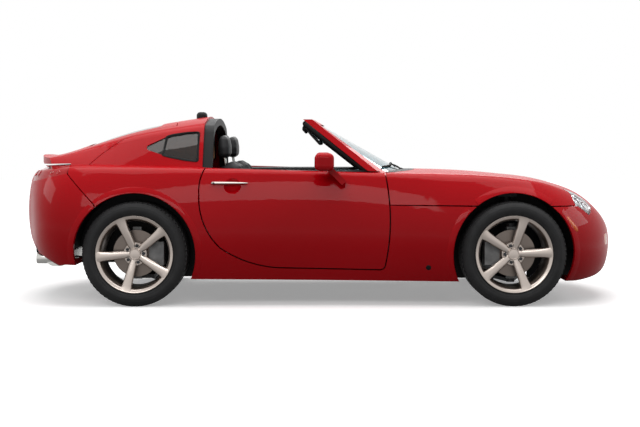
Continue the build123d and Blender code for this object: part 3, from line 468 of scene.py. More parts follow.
for wheel in wheelNames:
    end, side = wheel.split("_")
    base = radians(rimShape[end + "Turn"])
    shapes = [latheWheel(wheel, rimShape["lip"], 120)]
    turns = [base + 2 * pi * i / rimShape["spokes"] for i in range(rimShape["spokes"])]
    shapes += [spokeRings(wheel, turn) for turn in turns]
    hubProfile = [(0.0, 0.030), (0.072, 0.030), (0.076, 0.036), (0.076, 0.060), (0.073, 0.0645),
                  (0.040, 0.066), (0.0365, 0.0645), (0.0365, 0.080), (0.0345, 0.0825), (0.031, 0.0825),
                  (0.029, 0.0800), (0.018, 0.0812), (0.0, 0.0816)]
    shapes.append(latheWheel(wheel, hubProfile, 60, loop=False))
    for turn in turns:  # raised seats round the lug nuts
        a = turn + pi / rimShape["spokes"]
        cx, cz = rimShape["lugCircle"] * cos(a), rimShape["lugCircle"] * sin(a)
        rings = []
        for r, out in ((0.0165, 0.060), (0.0165, 0.0675), (0.0155, 0.0690), (0.0125, 0.0690),
                       (0.0115, 0.0640), (0.0, 0.0640)):
            rings.append([wheelPoint(wheel, cx + r * cos(2 * pi * k / 20), cz + r * sin(2 * pi * k / 20),
                                     out) for k in range(20)])
        shapes.append(loftRings(rings, caps=False))
    verts, faces = joinShapes(shapes)
    rim = makePiece("alloyRim_" + wheel, verts, faces, "alloy", "wheel_" + wheel, angle=32)
    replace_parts(rim, "rim_" + wheel)
print("rims done")

# lug nuts: one hexagon with a domed end on each stud
lugNut = {"Radius": 0.0105, "Height": 0.018, "Out": 0.072}
tree, keys, entry = nodeTree("lugNuts", Int=["Count"], Float=["Circle", "Turn", *lugNut])
spots = ringPoints(tree, entry, "Circle", "Out")[0]
hexagon = addNode(tree, "GeometryNodeMeshCylinder", {"Vertices": 6, "Radius": entry.outputs["Radius"],
                                                     "Depth": entry.outputs["Height"]})
domeR = addNode(tree, "ShaderNodeMath", {0: entry.outputs["Radius"], 1: 0.86}, operation="MULTIPLY")
dome = addNode(tree, "GeometryNodeMeshUVSphere", {"Segments": 16, "Rings": 8, "Radius": domeR.outputs[0]})
domeUp = addNode(tree, "ShaderNodeMath", {0: entry.outputs["Height"], 1: 0.32}, operation="MULTIPLY")
domeAt = addNode(tree, "ShaderNodeCombineXYZ", {"Z": domeUp.outputs[0]})
domePlace = {"Geometry": dome.outputs["Mesh"], "Translation": domeAt.outputs[0], "Scale": (1, 1, 0.5)}
domeMoved = addNode(tree, "GeometryNodeTransform", domePlace)
both = addNode(tree, "GeometryNodeJoinGeometry")
tree.links.new(hexagon.outputs["Mesh"], both.inputs[0])
tree.links.new(domeMoved.outputs["Geometry"], both.inputs[0])
outward = addNode(tree, "GeometryNodeTransform", {"Geometry": both.outputs[0], "Rotation": (-pi / 2, 0, 0)})
endTree(tree, entry, spots, outward.outputs[0])
for wheel in wheelNames:
    end, side = wheel.split("_")
    sign = -1 if side == "right" else 1
    turn = radians(rimShape[end + "Turn"]) + pi / rimShape["spokes"]
    place = (Matrix.Translation((axleX[end], sign * halfTrack[end], axleZ))
             @ Matrix.Diagonal((1, sign, 1, 1)))
    sizes = {"Count": rimShape["spokes"], "Circle": rimShape["lugCircle"], "Turn": turn, **lugNut}
    nuts = growPiece("lugNuts_" + wheel, tree, keys, sizes, "steel", "wheel_" + wheel, place)
    if sign < 0:
        nuts.data.flip_normals()
print("lug nuts done")

# flared lips round the wheel arches, laid on the panels
lip = {"inner": 0.3885, "outer": 0.434, "proud": 0.006, "turnIn": 0.028, "step": 2.0}
lipPanels = ["front_wings", "front_bumper", "hood", "body_side_right", "body_side_left", "rear_bumper"]
for end in ("front", "rear"):
    for side, sign in carSides:
        runs = {}
        last = None
        degree = -30.0
        while degree <= 215:
            a = radians(degree)
            hits = []
            for radius in (lip["inner"] + 0.002, (lip["inner"] + lip["outer"]) / 2, lip["outer"]):
                origin = (axleX[end] + radius * cos(a), sign * 1.3, axleZ + radius * sin(a))
                hits.append(castOn(lipPanels, origin, (0, -sign, 0), 0.75))
            degree += lip["step"]
            if any(h is None for h in hits) or len({h[3] for h in hits}) > 1:
                last = None
                continue
            owner = hits[0][3]
            if owner != last:
                runs.setdefault(owner, []).append([])
            last = owner
            near, mid, far = [h[0] for h in hits]
            inner = Vector((axleX[end] + lip["inner"] * cos(a), near.y, axleZ + lip["inner"] * sin(a)))
            out = Vector((0, sign, 0))
            runs[owner][-1].append([
                inner - out * lip["turnIn"],
                inner + out * (lip["proud"] - 0.003),
                inner + (mid - inner) * 0.12 + out * lip["proud"],
                near + (mid - near) * 0.6 + out * lip["proud"] * 0.95,
                mid + out * lip["proud"] * 0.75,
                far + (mid - far) * 0.35 + out * lip["proud"] * 0.25,
                far - out * 0.0015,
                mid - out * 0.012])
        for owner, parts in runs.items():
            shapes = [loftRings(p) for p in parts if len(p) > 1]
            if shapes:
                rider = "hood" if owner == "hood" else "body"
                makePiece(f"archLip_{end}_{side}_{owner}", *joinShapes(shapes), "paint", rider, angle=50)
print("arch lips done")


def latheAbout(center, axis, profile, steps=40):
    # profile rows are radius and distance along the axis
    axis = Vector(axis).normalized()
    side = axis.orthogonal().normalized()
    up = axis.cross(side)
    rings = []
    for radius, along in profile:
        ring = []
        for k in range(steps):
            a = 2 * pi * k / steps
            ring.append(Vector(center) + axis * along + (side * cos(a) + up * sin(a)) * radius)
        rings.append(ring)
    return loftRings(rings, caps=False)


def sweepSection(path, section, across=(0, 1, 0)):
    # section points are (across, off the path)
    # path rows are (place, off direction, width scale, height scale)
    rings = []
    for place, off, wide, tall in path:
        off = Vector(off).normalized()
        rings.append([Vector(place) + Vector(across) * (a * wide) + off * (h * tall) for a, h in section])
    return loftRings(rings)


def bevelled(obj, width, segments=3):
    work = bmesh.new()
    work.from_mesh(obj.data)
    sharp = [e for e in work.edges if len(e.link_faces) == 2 and e.calc_face_angle() > radians(30)]
    bmesh.ops.bevel(work, geom=sharp, offset=width, segments=segments, profile=0.5, affect="EDGES",
                    clamp_overlap=True)
    work.to_mesh(obj.data)
    work.free()
    obj.data.polygons.foreach_set("use_smooth", [True] * len(obj.data.polygons))
    obj.data.set_sharp_from_angle(angle=radians(40))
    return obj


def slab(name, corners, thick, finish, body, rounding=0.004):
    # four corners in a loop and a thickness vector
    thick = Vector(thick)
    low = [Vector(c) for c in corners]
    high = [c + thick for c in low]
    verts, faces = loftRings([low, high])
    return bevelled(makePiece(name, verts, faces, finish, body), rounding)


def tubeOn(name, points, radius, finish, body):
    return settle(tubeMesh(name, points, radius), finish, body, angle=60)


# stitches along a line of points
tree, keys, entry = nodeTree("stitchRun", Object=["Line"], Float=["Pitch", "Length", "Thread"])
source = addNode(tree, "GeometryNodeObjectInfo", {"Object": entry.outputs["Line"]})
run = addNode(tree, "GeometryNodeMeshToCurve", {"Mesh": source.outputs["Geometry"]})
spaced = addNode(tree, "GeometryNodeResampleCurve",
                 {"Curve": run.outputs["Curve"], "Length": entry.outputs["Pitch"]}, mode="LENGTH")
tangent = addNode(tree, "GeometryNodeInputTangent")
turn = addNode(tree, "FunctionNodeAlignRotationToVector", {"Vector": tangent.outputs[0]}, axis="Z")
thread = addNode(tree, "GeometryNodeMeshCylinder",
                 {"Vertices": 6, "Radius": entry.outputs["Thread"], "Depth": entry.outputs["Length"]})
endTree(tree, entry, spaced.outputs["Curve"], thread.outputs["Mesh"], turn.outputs[0])
stitchTree, stitchKeys = tree, keys


def stitch(name, points, body, pitch=0.008):
    mesh = bpy.data.meshes.new(name + "Line")
    mesh.from_pydata([tuple(p) for p in points], [(i, i + 1) for i in range(len(points) - 1)], [])
    guide = bpy.data.objects.new(name + "Line", mesh)
    bpy.context.scene.collection.objects.link(guide)
    piece = growPiece(name, stitchTree, stitchKeys,
                      {"Line": guide, "Pitch": pitch, "Length": pitch * 0.62, "Thread": 0.0009},
                      "thread", body)
    bpy.data.objects.remove(guide)
    return piece


# seats: cushion, back and head pad, each a cloth-blown pad over the CAD seat's shape
seat = {
    "y": 0.385, "voxel": 0.008, "cap": 0.012, "pressure": 4.0, "frames": 20, "fill": 0.7,
    "channel": 0.0035, "channelWidth": 0.006, "insert": 0.128, "seam": 0.132,
    # place of the pad's back or under face, off direction, width, thickness
    "cushion": [((0.112, 0.335), (0.02, 1), 0.90, 0.50), ((0.095, 0.300), (0.0, 1), 0.97, 0.92),
                ((0.02, 0.290), (-0.04, 1), 1.0, 1.02), ((-0.12, 0.278), (0.05, 1), 1.0, 0.97),
                ((-0.26, 0.268), (0.1, 1), 0.98, 0.92), ((-0.345, 0.272), (0.2, 1), 0.92, 0.72)],
    "back": [((-0.452, 0.395), (1, 0.36), 0.90, 0.72), ((-0.478, 0.470), (1, 0.36), 0.98, 0.97),
             ((-0.535, 0.630), (1, 0.36), 1.0, 0.95), ((-0.590, 0.790), (1, 0.34), 0.92, 0.82),
             ((-0.622, 0.882), (1, 0.25), 0.78, 0.68), ((-0.632, 0.912), (0.9, 0.4), 0.62, 0.42)],
    "head": [((-0.672, 0.944), (1, 0.1), 0.86, 0.70), ((-0.676, 0.962), (1, 0.1), 0.96, 0.95),
             ((-0.680, 1.010), (1, 0.1), 1.0, 1.0), ((-0.676, 1.062), (1, 0.15), 0.92, 0.85),
             ((-0.668, 1.084), (1, 0.3), 0.76, 0.55)],
}
padSections = {  # (across, off the back) round the pad
    "cushion": [(-0.205, 0.0), (-0.212, 0.06), (-0.205, 0.125), (-0.175, 0.142), (-0.142, 0.112),
                (0.0, 0.105), (0.142, 0.112), (0.175, 0.142), (0.205, 0.125), (0.212, 0.06), (0.205, 0.0)],
    "back": [(-0.200, 0.0), (-0.208, 0.06), (-0.202, 0.125), (-0.176, 0.140), (-0.140, 0.098), (0.0, 0.088),
             (0.140, 0.098), (0.176, 0.140), (0.202, 0.125), (0.208, 0.06), (0.200, 0.0)],
    "head": [(-0.118, 0.004), (-0.128, 0.040), (-0.118, 0.072), (-0.06, 0.082), (0.0, 0.084), (0.06, 0.082),
             (0.118, 0.072), (0.128, 0.040), (0.118, 0.004), (0.0, 0.0)],
}
padChannels = {"cushion": [0.055, -0.015, -0.085, -0.155, -0.225],
               "back": [0.50, 0.565, 0.63, 0.695, 0.76], "head": []}


def seatPad(kind):
    path = [((x, 0, z), (dx, 0, dz), wide, tall) for (x, z), (dx, dz), wide, tall in seat[kind]]
    verts, faces = sweepSection(path, padSections[kind])
    mesh = bpy.data.meshes.new(kind + "Pad")
    mesh.from_pydata([tuple(v) for v in verts], [], faces)
    work = bmesh.new()
    work.from_mesh(mesh)
    bmesh.ops.recalc_face_normals(work, faces=work.faces)
    work.to_mesh(mesh)
    work.free()
    pad = bpy.data.objects.new(kind + "Pad", mesh)
    bpy.context.scene.collection.objects.link(pad)
    bpy.context.view_layer.objects.active = pad
    pad.select_set(True)
    remesh = pad.modifiers.new("remesh", "REMESH")
    remesh.mode = "VOXEL"
    remesh.voxel_size = seat["voxel"]
    smooth = pad.modifiers.new("smooth", "SMOOTH")
    smooth.iterations = 4
    flat = bpy.data.meshes.new_from_object(pad.evaluated_get(bpy.context.evaluated_depsgraph_get()))
    pad.modifiers.clear()
    pad.data = flat
    rest = [v.co.copy() for v in flat.vertices]
    cloth = pad.modifiers.new("cloth", "CLOTH")
    cloth.settings.use_pressure = True
    cloth.settings.uniform_pressure_force = seat["pressure"]
    cloth.settings.effector_weights.gravity = 0
    cloth.settings.quality = 4
    cloth.settings.mass = 0.4
    cloth.settings.tension_stiffness = 25
    cloth.settings.compression_stiffness = 25
    cloth.settings.bending_stiffness = 2.0
    cloth.point_cache.frame_start = 1
    cloth.point_cache.frame_end = seat["frames"]
    for step in range(1, seat["frames"] + 1):
        bpy.context.scene.frame_set(step)
    blown = bpy.data.meshes.new_from_object(pad.evaluated_get(bpy.context.evaluated_depsgraph_get()))
    pad.modifiers.clear()
    bpy.context.scene.frame_set(1)
    for v, start in zip(blown.vertices, rest):
        move = v.co - start
        if move.length > seat["cap"]:
            v.co = start + move * (seat["cap"] / move.length)
    pad.data = blown
    finer = pad.modifiers.new("finer", "SUBSURF")
    finer.levels = 1
    finer.render_levels = 1
    final = bpy.data.meshes.new_from_object(pad.evaluated_get(bpy.context.evaluated_depsgraph_get()))
    bpy.data.objects.remove(pad)
    normals = [v.normal.copy() for v in final.vertices]
    # sewn channels across the middle, and the seams beside the bolsters
    for v, normal in zip(final.vertices, normals):
        facing = normal.z if kind == "cushion" else normal.x
        if kind == "head" or facing < 0.35:
            continue
        along = v.co.x if kind == "cushion" else v.co.z
        groove = 0.0
        if abs(v.co.y) < seat["insert"]:
            for line in padChannels[kind]:
                groove = max(groove, exp(-((along - line) / seat["channelWidth"]) ** 2))
        groove = max(groove, exp(-((abs(v.co.y) - seat["seam"]) / seat["channelWidth"]) ** 2))
        v.co -= normal * (groove * seat["channel"])
    return final


def padLine(tree, kind, spots):
    # points laid on a pad: spots are (across, along)
    points = []
    for across, along in spots:
        if kind == "cushion":
            hit, normal, _, _ = tree.ray_cast(Vector((along, across, 1.0)), Vector((0, 0, -1)))
        else:
            hit, normal, _, _ = tree.ray_cast(Vector((1.0, across, along)), Vector((-1, 0, 0)))
        if hit:
            points.append(hit + normal * 0.0006)
    return points


for kind in ("cushion", "back", "head"):
    master = seatPad(kind)
    lines = []
    if kind != "head":
        padTree = BVHTree.FromPolygons([v.co for v in master.vertices],
                                       [tuple(p.vertices) for p in master.polygons])
        reach = (-0.27, 0.07) if kind == "cushion" else (0.46, 0.83)
        for across in (-0.141, 0.141):
            spots = [(across, reach[0] + (reach[1] - reach[0]) * i / 40) for i in range(41)]
            lines.append(padLine(padTree, kind, spots))
    for side, sign in carSides:
        mesh = master.copy()
        mesh.transform(Matrix.Translation((0, sign * seat["y"], 0)))
        pad = settle(bpy.data.objects.new(f"{kind}Pad_{side}", mesh), "leather", "body", 180)
        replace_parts(pad, "seats")
        for i, line in enumerate(lines):
            if len(line) > 4:
                stitch(f"{kind}Stitch{i}_{side}", [p + Vector((0, sign * seat["y"], 0)) for p in line],
                       "body")
    print("seat pad", kind, len(master.polygons), "faces")

# seat shells, runners and head posts
for side, sign in carSides:
    y = sign * seat["y"]
    path = [((-0.470, y, 0.275), (1, 0, 0.30), 1.0, 1.0), ((-0.505, y, 0.42), (1, 0, 0.36), 1.0, 1.0),
            ((-0.572, y, 0.62), (1, 0, 0.36), 1.0, 1.0), ((-0.634, y, 0.80), (1, 0, 0.34), 0.9, 1.0),
            ((-0.660, y, 0.885), (1, 0, 0.25), 0.72, 0.8)]
    shell = [(-0.212, 0.060), (-0.216, 0.030), (-0.195, 0.006), (0.0, 0.0), (0.195, 0.006), (0.216, 0.030),
             (0.212, 0.060), (0.0, 0.032)]
    verts, faces = sweepSection(path, shell)
    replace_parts(makePiece("seatShell_" + side, verts, faces, "cabin_plastic", "body", angle=50), "seats")
    under = [(-0.205, 0.0), (-0.208, 0.055), (0.0, 0.062), (0.208, 0.055), (0.205, 0.0)]
    verts, faces = sweepSection([((x, y, z), (0, 0, 1), w, 1.0) for x, z, w in
                                 ((0.108, 0.262, 0.92), (0.06, 0.236, 1.0), (-0.2, 0.232, 1.0),
                                  (-0.43, 0.236, 0.98), (-0.462, 0.262, 0.9))], under)
    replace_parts(bevelled(makePiece("seatPan_" + side, verts, faces, "cabin_plastic", "body"), 0.008),
                "seats")
    for k, rail in enumerate((-0.165, 0.165)):
        railSection = ((-0.018, 0.193), (0.018, 0.193), (0.018, 0.226), (0.012, 0.238), (-0.012, 0.238),
                       (-0.018, 0.226))
        verts, faces = loftRings([[(x, y + rail + a, z) for a, z in railSection] for x in (-0.40, 0.06)])
        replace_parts(bevelled(makePiece(f"seatRail{k}_{side}", verts, faces, "steel", "body"), 0.003),
                    "seats")
    for k, post in enumerate((-0.05, 0.05)):
        tubeOn(f"headPost{k}_{side}", [(-0.628, y + post, 0.86), (-0.634, y + post, 0.91),
                                       (-0.646, y + post, 0.985)], 0.006, "chrome", "body")
print("seats done")

# steering wheel: leather rim with grips, three spokes, plain pad, column shroud
wheelSet = {"place": (0.095, 0.385, 0.690), "tilt": 22, "radius": 0.178, "rim": 0.0145, "thumb": 0.16,
            "bulge": 0.14}
hubFrame = (Matrix.Translation(wheelSet["place"]) @ Matrix.Rotation(radians(-wheelSet["tilt"]), 4, "Y")
            @ Matrix.Rotation(-pi / 2, 4, "Y"))
# in the hub's frame: z points to the driver, y to the left, x up
rings = []
for i in range(96):
    a = 2 * pi * i / 96
    bulge = 0.0
    for thumb in (-pi / 3, pi / 3):  # thumb rests
        bulge = max(bulge, 1 - abs((a + pi) % (2 * pi) - pi - thumb) / wheelSet["thumb"])
    grip = wheelSet["rim"] * (1 + wheelSet["bulge"] * bulge)
    ring = []
    for k in range(14):
        b = 2 * pi * k / 14
        r = wheelSet["radius"] + grip * cos(b)
        ring.append(hubFrame @ Vector((r * cos(a), r * sin(a), grip * sin(b) * 1.1)))
    rings.append(ring)
rings.append(rings[0])
verts, faces = loftRings(rings, caps=False)
wheelRim = makePiece("wheelRimLeather", verts, faces, "leather", "body", angle=80)
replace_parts(wheelRim, "steering_wheel")
shapes = []
for turn in (0, 180, 270):
    a = radians(turn) + pi / 2
    path = []
    for r, wide, thick, down in ((0.045, 0.030, 0.011, -0.008), (0.09, 0.023, 0.010, -0.012),
                                 (0.14, 0.019, 0.009, -0.006), (0.172, 0.023, 0.009, 0.0)):
        middle = Vector((r * cos(a), r * sin(a), down))
        wideAxis = Vector((-sin(a), cos(a), 0))
        path.append([hubFrame @ (middle + wideAxis * (wide * u) + Vector((0, 0, thick * h))) for u, h in
                     ((-1, -0.5), (-1, 0.3), (-0.7, 0.8), (0, 1), (0.7, 0.8), (1, 0.3), (1, -0.5),
                      (0, -1))])
    shapes.append(loftRings(path))
verts, faces = joinShapes(shapes)
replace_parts(makePiece("wheelSpokes", verts, faces, "cabin_plastic", "body", angle=50), "steering_wheel")
padRows = [(0.0, 0.030), (0.03, 0.029), (0.052, 0.024), (0.064, 0.012), (0.066, -0.004), (0.060, -0.016)]
axis = hubFrame.to_3x3() @ Vector((0, 0, 1))
verts, faces = latheAbout(wheelSet["place"], axis, padRows, 48)
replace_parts(makePiece("wheelPad", verts, faces, "leather", "body", angle=60), "steering_wheel")
column = [(0.060, -0.016), (0.054, -0.03), (0.044, -0.045), (0.042, -0.21), (0.030, -0.215)]
verts, faces = latheAbout(wheelSet["place"], axis, column, 32)
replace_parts(makePiece("columnShroud", verts, faces, "cabin_plastic", "body", angle=50), "steering_wheel")
print("steering wheel done")

# cabin front: binnacle hood, dials, vents, radio panel, lever and brake handle
dash = {"wheelY": 0.385, "face": 0.272, "dials": [(-0.085, 0.045), (0.0, 0.055), (0.085, 0.045)],
        "vents": [-0.585, -0.16, 0.16, 0.60]}
path = []
for x, z, wide, tall in ((0.44, 0.830, 1.0, 0.35), (0.36, 0.822, 1.0, 0.72), (0.285, 0.800, 0.98, 0.98),
                         (0.245, 0.784, 0.95, 1.0)):
    path.append(((x, dash["wheelY"], z), (0, 0, 1), wide, tall))
arch = [(-0.165, -0.03), (-0.160, 0.012), (-0.125, 0.042), (-0.06, 0.056), (0.0, 0.060), (0.06, 0.056),
        (0.125, 0.042), (0.160, 0.012), (0.165, -0.03), (0.150, -0.03), (0.146, 0.006), (0.115, 0.030),
        (0.055, 0.043), (0.0, 0.046), (-0.055, 0.043), (-0.115, 0.030), (-0.146, 0.006), (-0.150, -0.03)]
verts, faces = sweepSection(path, arch)
makePiece("binnacleHood", verts, faces, "cabin_plastic", "body", angle=50)
shapes, faceShapes, needles = [], [], []
for off, radius in dash["dials"]:
    center = (dash["face"] + 0.012, dash["wheelY"] + off, 0.792)
    shapes.append(latheAbout(center, (-1, 0, 0), [(radius * 0.88, 0.0), (radius * 0.88, 0.010),
                                                  (radius * 0.94, 0.014), (radius, 0.010),
                                                  (radius, -0.02)], 40))
    faceShapes.append(latheAbout(center, (-1, 0, 0), [(0.0, 0.004), (radius * 0.89, 0.004)], 40))
    tip = Vector(center) + Vector((-0.007, radius * 0.5, radius * 0.42))
    needleSection = ((-1, 0), (0, -1), (1, 0), (0, 1))
    hubEnd = [Vector(center) + Vector((-0.006, 0.002 * a, 0.002 * b)) for a, b in needleSection]
    tipEnd = [tip + Vector((0, 0.0006 * a, 0.0006 * b)) for a, b in needleSection]
    needles.append(loftRings([hubEnd, tipEnd]))
makePiece("dialRings", *joinShapes(shapes), "chrome", "body", angle=50)
makePiece("dialFaces", *joinShapes(faceShapes), "black_plastic", "body", turnOut=False)
makePiece("dialNeedles", *joinShapes(needles), "red_lens", "body")
shapes = []
for y in dash["vents"]:
    shapes.append(latheAbout((0.276, y, 0.735), (-1, 0, 0.1),
                             [(0.0, 0.000), (0.030, 0.0), (0.031, 0.006), (0.036, 0.010), (0.041, 0.007),
                              (0.042, -0.03)], 36))
    for k in range(5):
        z = 0.735 + (k - 2) * 0.011
        half = (0.029 ** 2 - ((k - 2) * 0.011) ** 2) ** 0.5
        slatSection = ((-0.004, 0.001), (0.004, -0.002), (0.004, -0.0005), (-0.004, 0.0025))
        ends = [[Vector((0.2725 + a, y + h, z + b)) for a, b in slatSection] for h in (-half, half)]
        shapes.append(loftRings(ends))
makePiece("airVents", *joinShapes(shapes), "black_plastic", "body", angle=40)
slab("radioPanel", [(0.312, -0.095, 0.615), (0.312, 0.095, 0.615), (0.276, 0.095, 0.715),
                    (0.276, -0.095, 0.715)], (-0.010, 0, -0.003), "black_plastic", "body")
shapes = [latheAbout((0.290 - 0.02, y, 0.655), (-1, 0, -0.3),
                     [(0.0, 0.022), (0.012, 0.021), (0.0145, 0.018), (0.016, 0.0),
                      (0.016, -0.02)], 24) for y in (-0.06, 0.0, 0.06)]
makePiece("panelKnobs", *joinShapes(shapes), "black_plastic", "body", angle=40)
slab("gloveLid", [(0.302, -0.56, 0.600), (0.302, -0.24, 0.600), (0.2765, -0.24, 0.695),
                  (0.2765, -0.56, 0.695)], (-0.008, 0, -0.002), "cabin_plastic", "body", 0.006)
bootRows = [(0.055, 0.0), (0.050, 0.012), (0.042, 0.022), (0.038, 0.030), (0.030, 0.040), (0.026, 0.052),
            (0.018, 0.062), (0.011, 0.070)]
makePiece("leverBoot", *latheAbout((0.16, 0.0, 0.520), (-0.12, 0, 1), bootRows, 28), "leather", "body",
          angle=70)
tubeOn("leverRod", [(0.153, 0, 0.58), (0.148, 0, 0.62), (0.142, 0, 0.645)], 0.006, "chrome", "body")
knobRows = [(0.010, -0.012), (0.018, -0.008), (0.0235, 0.006), (0.0245, 0.020), (0.020, 0.034),
            (0.010, 0.040), (0.0, 0.041)]
makePiece("leverKnob", *latheAbout((0.140, 0, 0.648), (-0.12, 0, 1), knobRows, 28), "leather", "body",
          angle=70)
brakePath = [(-0.30, 0.055, 0.535), (-0.24, 0.055, 0.548), (-0.13, 0.055, 0.575), (-0.06, 0.055, 0.592)]
tubeOn("brakeHandle", brakePath, 0.013, "leather", "body")
lid = [((-0.55, 0, 0.520), (0, 0, 1), 0.9, 0.5), ((-0.52, 0, 0.520), (0, 0, 1), 1.0, 1.0),
       ((-0.36, 0, 0.520), (0, 0, 1), 1.0, 1.0), ((-0.33, 0, 0.520), (0, 0, 1), 0.9, 0.5)]
makePiece("armRest", *sweepSection(lid, [(-0.1, 0.0), (-0.104, 0.02), (-0.09, 0.036), (0, 0.042),
                                         (0.09, 0.036), (0.104, 0.02),
                                         (0.1, 0.0)]), "leather", "body", angle=60)
print("cabin front done")

# door trims: arm pads, pulls and speaker rings
doorTrim = {
    "inner": 0.655, "rollY": 0.70, "rollZ": 0.852, "speaker": (0.20, 0.42), "pullR": 0.007,
    # along the door, height, thickness
    "armPath": [(-0.46, 0.612, 0.3), (-0.43, 0.612, 0.9), (-0.20, 0.618, 1.0), (0.02, 0.632, 0.9),
                (0.12, 0.66, 0.6), (0.15, 0.675, 0.3)],
    "armPad": [(-0.032, -0.004), (-0.030, 0.020), (-0.016, 0.032), (0.008, 0.034), (0.024, 0.022),
               (0.028, -0.004)],
    # along the door, off its face, height
    "pull": [(0.05, -0.002, 0.72), (0.04, 0.03, 0.722), (-0.06, 0.034, 0.728), (-0.07, -0.002, 0.73)],
    "ring": [(0.0, 0.002), (0.060, 0.003), (0.066, 0.008), (0.074, 0.006), (0.078, -0.004)],
    "rollPath": [(-0.66, 0.4), (-0.64, 1.0), (-0.2, 1.0), (0.30, 1.0), (0.34, 0.4)],
    "roll": [(-0.042, -0.004), (-0.046, 0.006), (-0.03, 0.014), (0.0, 0.017), (0.03, 0.014), (0.044, 0.004),
             (0.042, -0.004)],
}
for side, sign in carSides:
    door = "door_" + side
    inner = sign * doorTrim["inner"]
    path = [((x, inner, z), (0, -sign, 0), 1.0, t) for x, z, t in doorTrim["armPath"]]
    pad = sweepSection(path, doorTrim["armPad"], across=(0, 0, 1))
    makePiece("armPad_" + side, *pad, "leather", door, angle=60)
    pull = [(x, inner - sign * off, z) for x, off, z in doorTrim["pull"]]
    tubeOn("doorPull_" + side, pull, doorTrim["pullR"], "chrome", door)
    x, z = doorTrim["speaker"]
    ring = latheAbout((x, inner, z), (0, -sign, 0), doorTrim["ring"], 40)
    makePiece("speakerRing_" + side, *ring, "black_plastic", door, angle=40)
    path = [((x, sign * doorTrim["rollY"], doorTrim["rollZ"]), (0, 0, 1), 1.0, t)
            for x, t in doorTrim["rollPath"]]
    makePiece("doorTopRoll_" + side, *sweepSection(path, doorTrim["roll"]), "cabin_plastic", door, angle=60)
print("door trims done")

# windscreen surround: side seals, visors, latches and header seal
screen = {
    "lowSeal": (0.300, 0.712, 0.858), "topSeal": (-0.100, 0.570, 1.168), "sealR": 0.019, "sealRows": 8,
    "visorY": 0.34, "visorOff": (0.75, 0, 0.66), "visorRound": 0.0075,
    "visorPath": [(-0.092, 1.142), (-0.062, 1.107), (-0.006, 1.046), (0.004, 1.036)],
    "visor": [(-0.165, -0.009), (-0.165, 0.009), (0.165, 0.009), (0.165, -0.009)],
    "rod": [(-0.076, 0.16, 1.134), (-0.077, 0.3, 1.136), (-0.078, 0.52, 1.138)], "rodR": 0.0045,
    "latchY": 0.46, "latchRound": 0.003,
    # along the car, height, upward lean, width, thickness
    "latchPath": [(-0.100, 1.160, 0.1, 1.0, 0.4), (-0.104, 1.148, 0, 1.0, 1.0),
                  (-0.104, 1.128, 0, 1.0, 1.0), (-0.100, 1.118, -0.1, 0.8, 0.5)],
    "latch": [(-0.022, -0.012), (-0.022, 0.014), (0.022, 0.014), (0.022, -0.012)],
    "headerX": -0.098, "headerZ": 1.182, "headerDrop": 0.012, "headerHalf": 0.56, "headerR": 0.017,
}
for side, sign in carSides:
    low, top = Vector(screen["lowSeal"]), Vector(screen["topSeal"])
    points = []
    for i in range(screen["sealRows"] + 1):
        p = low.lerp(top, i / screen["sealRows"])
        points.append((p.x, sign * p.y, p.z))
    tubeOn("screenSeal_" + side, points, screen["sealR"], "seal", "body")
    path = [((x, sign * screen["visorY"], z), screen["visorOff"], 1.0, 1.0) for x, z in screen["visorPath"]]
    visor = makePiece("sunVisor_" + side, *sweepSection(path, screen["visor"]), "leather", "body")
    bevelled(visor, screen["visorRound"])
    rod = [(x, sign * y, z) for x, y, z in screen["rod"]]
    tubeOn("visorRod_" + side, rod, screen["rodR"], "black_plastic", "body")
    path = [((x, sign * screen["latchY"], z), (-1, 0, lean), wide, thick)
            for x, z, lean, wide, thick in screen["latchPath"]]
    latch = makePiece("roofLatch_" + side, *sweepSection(path, screen["latch"]), "black_plastic", "body")
    bevelled(latch, screen["latchRound"])
points = []
for y in (-0.56, -0.42, -0.28, -0.14, 0.0, 0.14, 0.28, 0.42, 0.56):
    points.append((screen["headerX"], y,
                   screen["headerZ"] - screen["headerDrop"] * (y / screen["headerHalf"]) ** 2))
tubeOn("headerSeal", points, screen["headerR"], "seal", "body")

# inside mirror: rows are place along the car and scale of the outline
insideMirror = {
    "z": 1.062, "wide": 0.115, "tall": 0.031, "points": 32, "stalkR": 0.008,
    "stalk": [(0.06, 0.0, 1.105), (0.04, 0.0, 1.100), (0.02, 0.0, 1.088), (0.012, 0.0, 1.075)],
    "shell": [(0.022, 0.6), (0.018, 0.9), (0.006, 1.0), (-0.004, 1.0), (-0.005, 0.96)],
    "plate": [(-0.0045, 0.95), (-0.0062, 0.94)],
}
tubeOn("mirrorStalk", insideMirror["stalk"], insideMirror["stalkR"], "black_plastic", "body")
outline = []
for k in range(insideMirror["points"]):
    a = 2 * pi * k / insideMirror["points"]
    blunt = 1.0 if abs(cos(a)) < 0.8 else 0.98
    outline.append((insideMirror["wide"] * cos(a) * blunt, insideMirror["tall"] * sin(a)))
for name, rows, finish, angle in (("insideMirror", "shell", "black_plastic", 50),
                                  ("insideMirrorGlass", "plate", "mirror", 35)):
    rings = [[Vector((x, a * s, insideMirror["z"] + b * s)) for a, b in outline]
             for x, s in insideMirror[rows]]
    makePiece(name, *loftRings(rings), finish, "body", angle=angle)

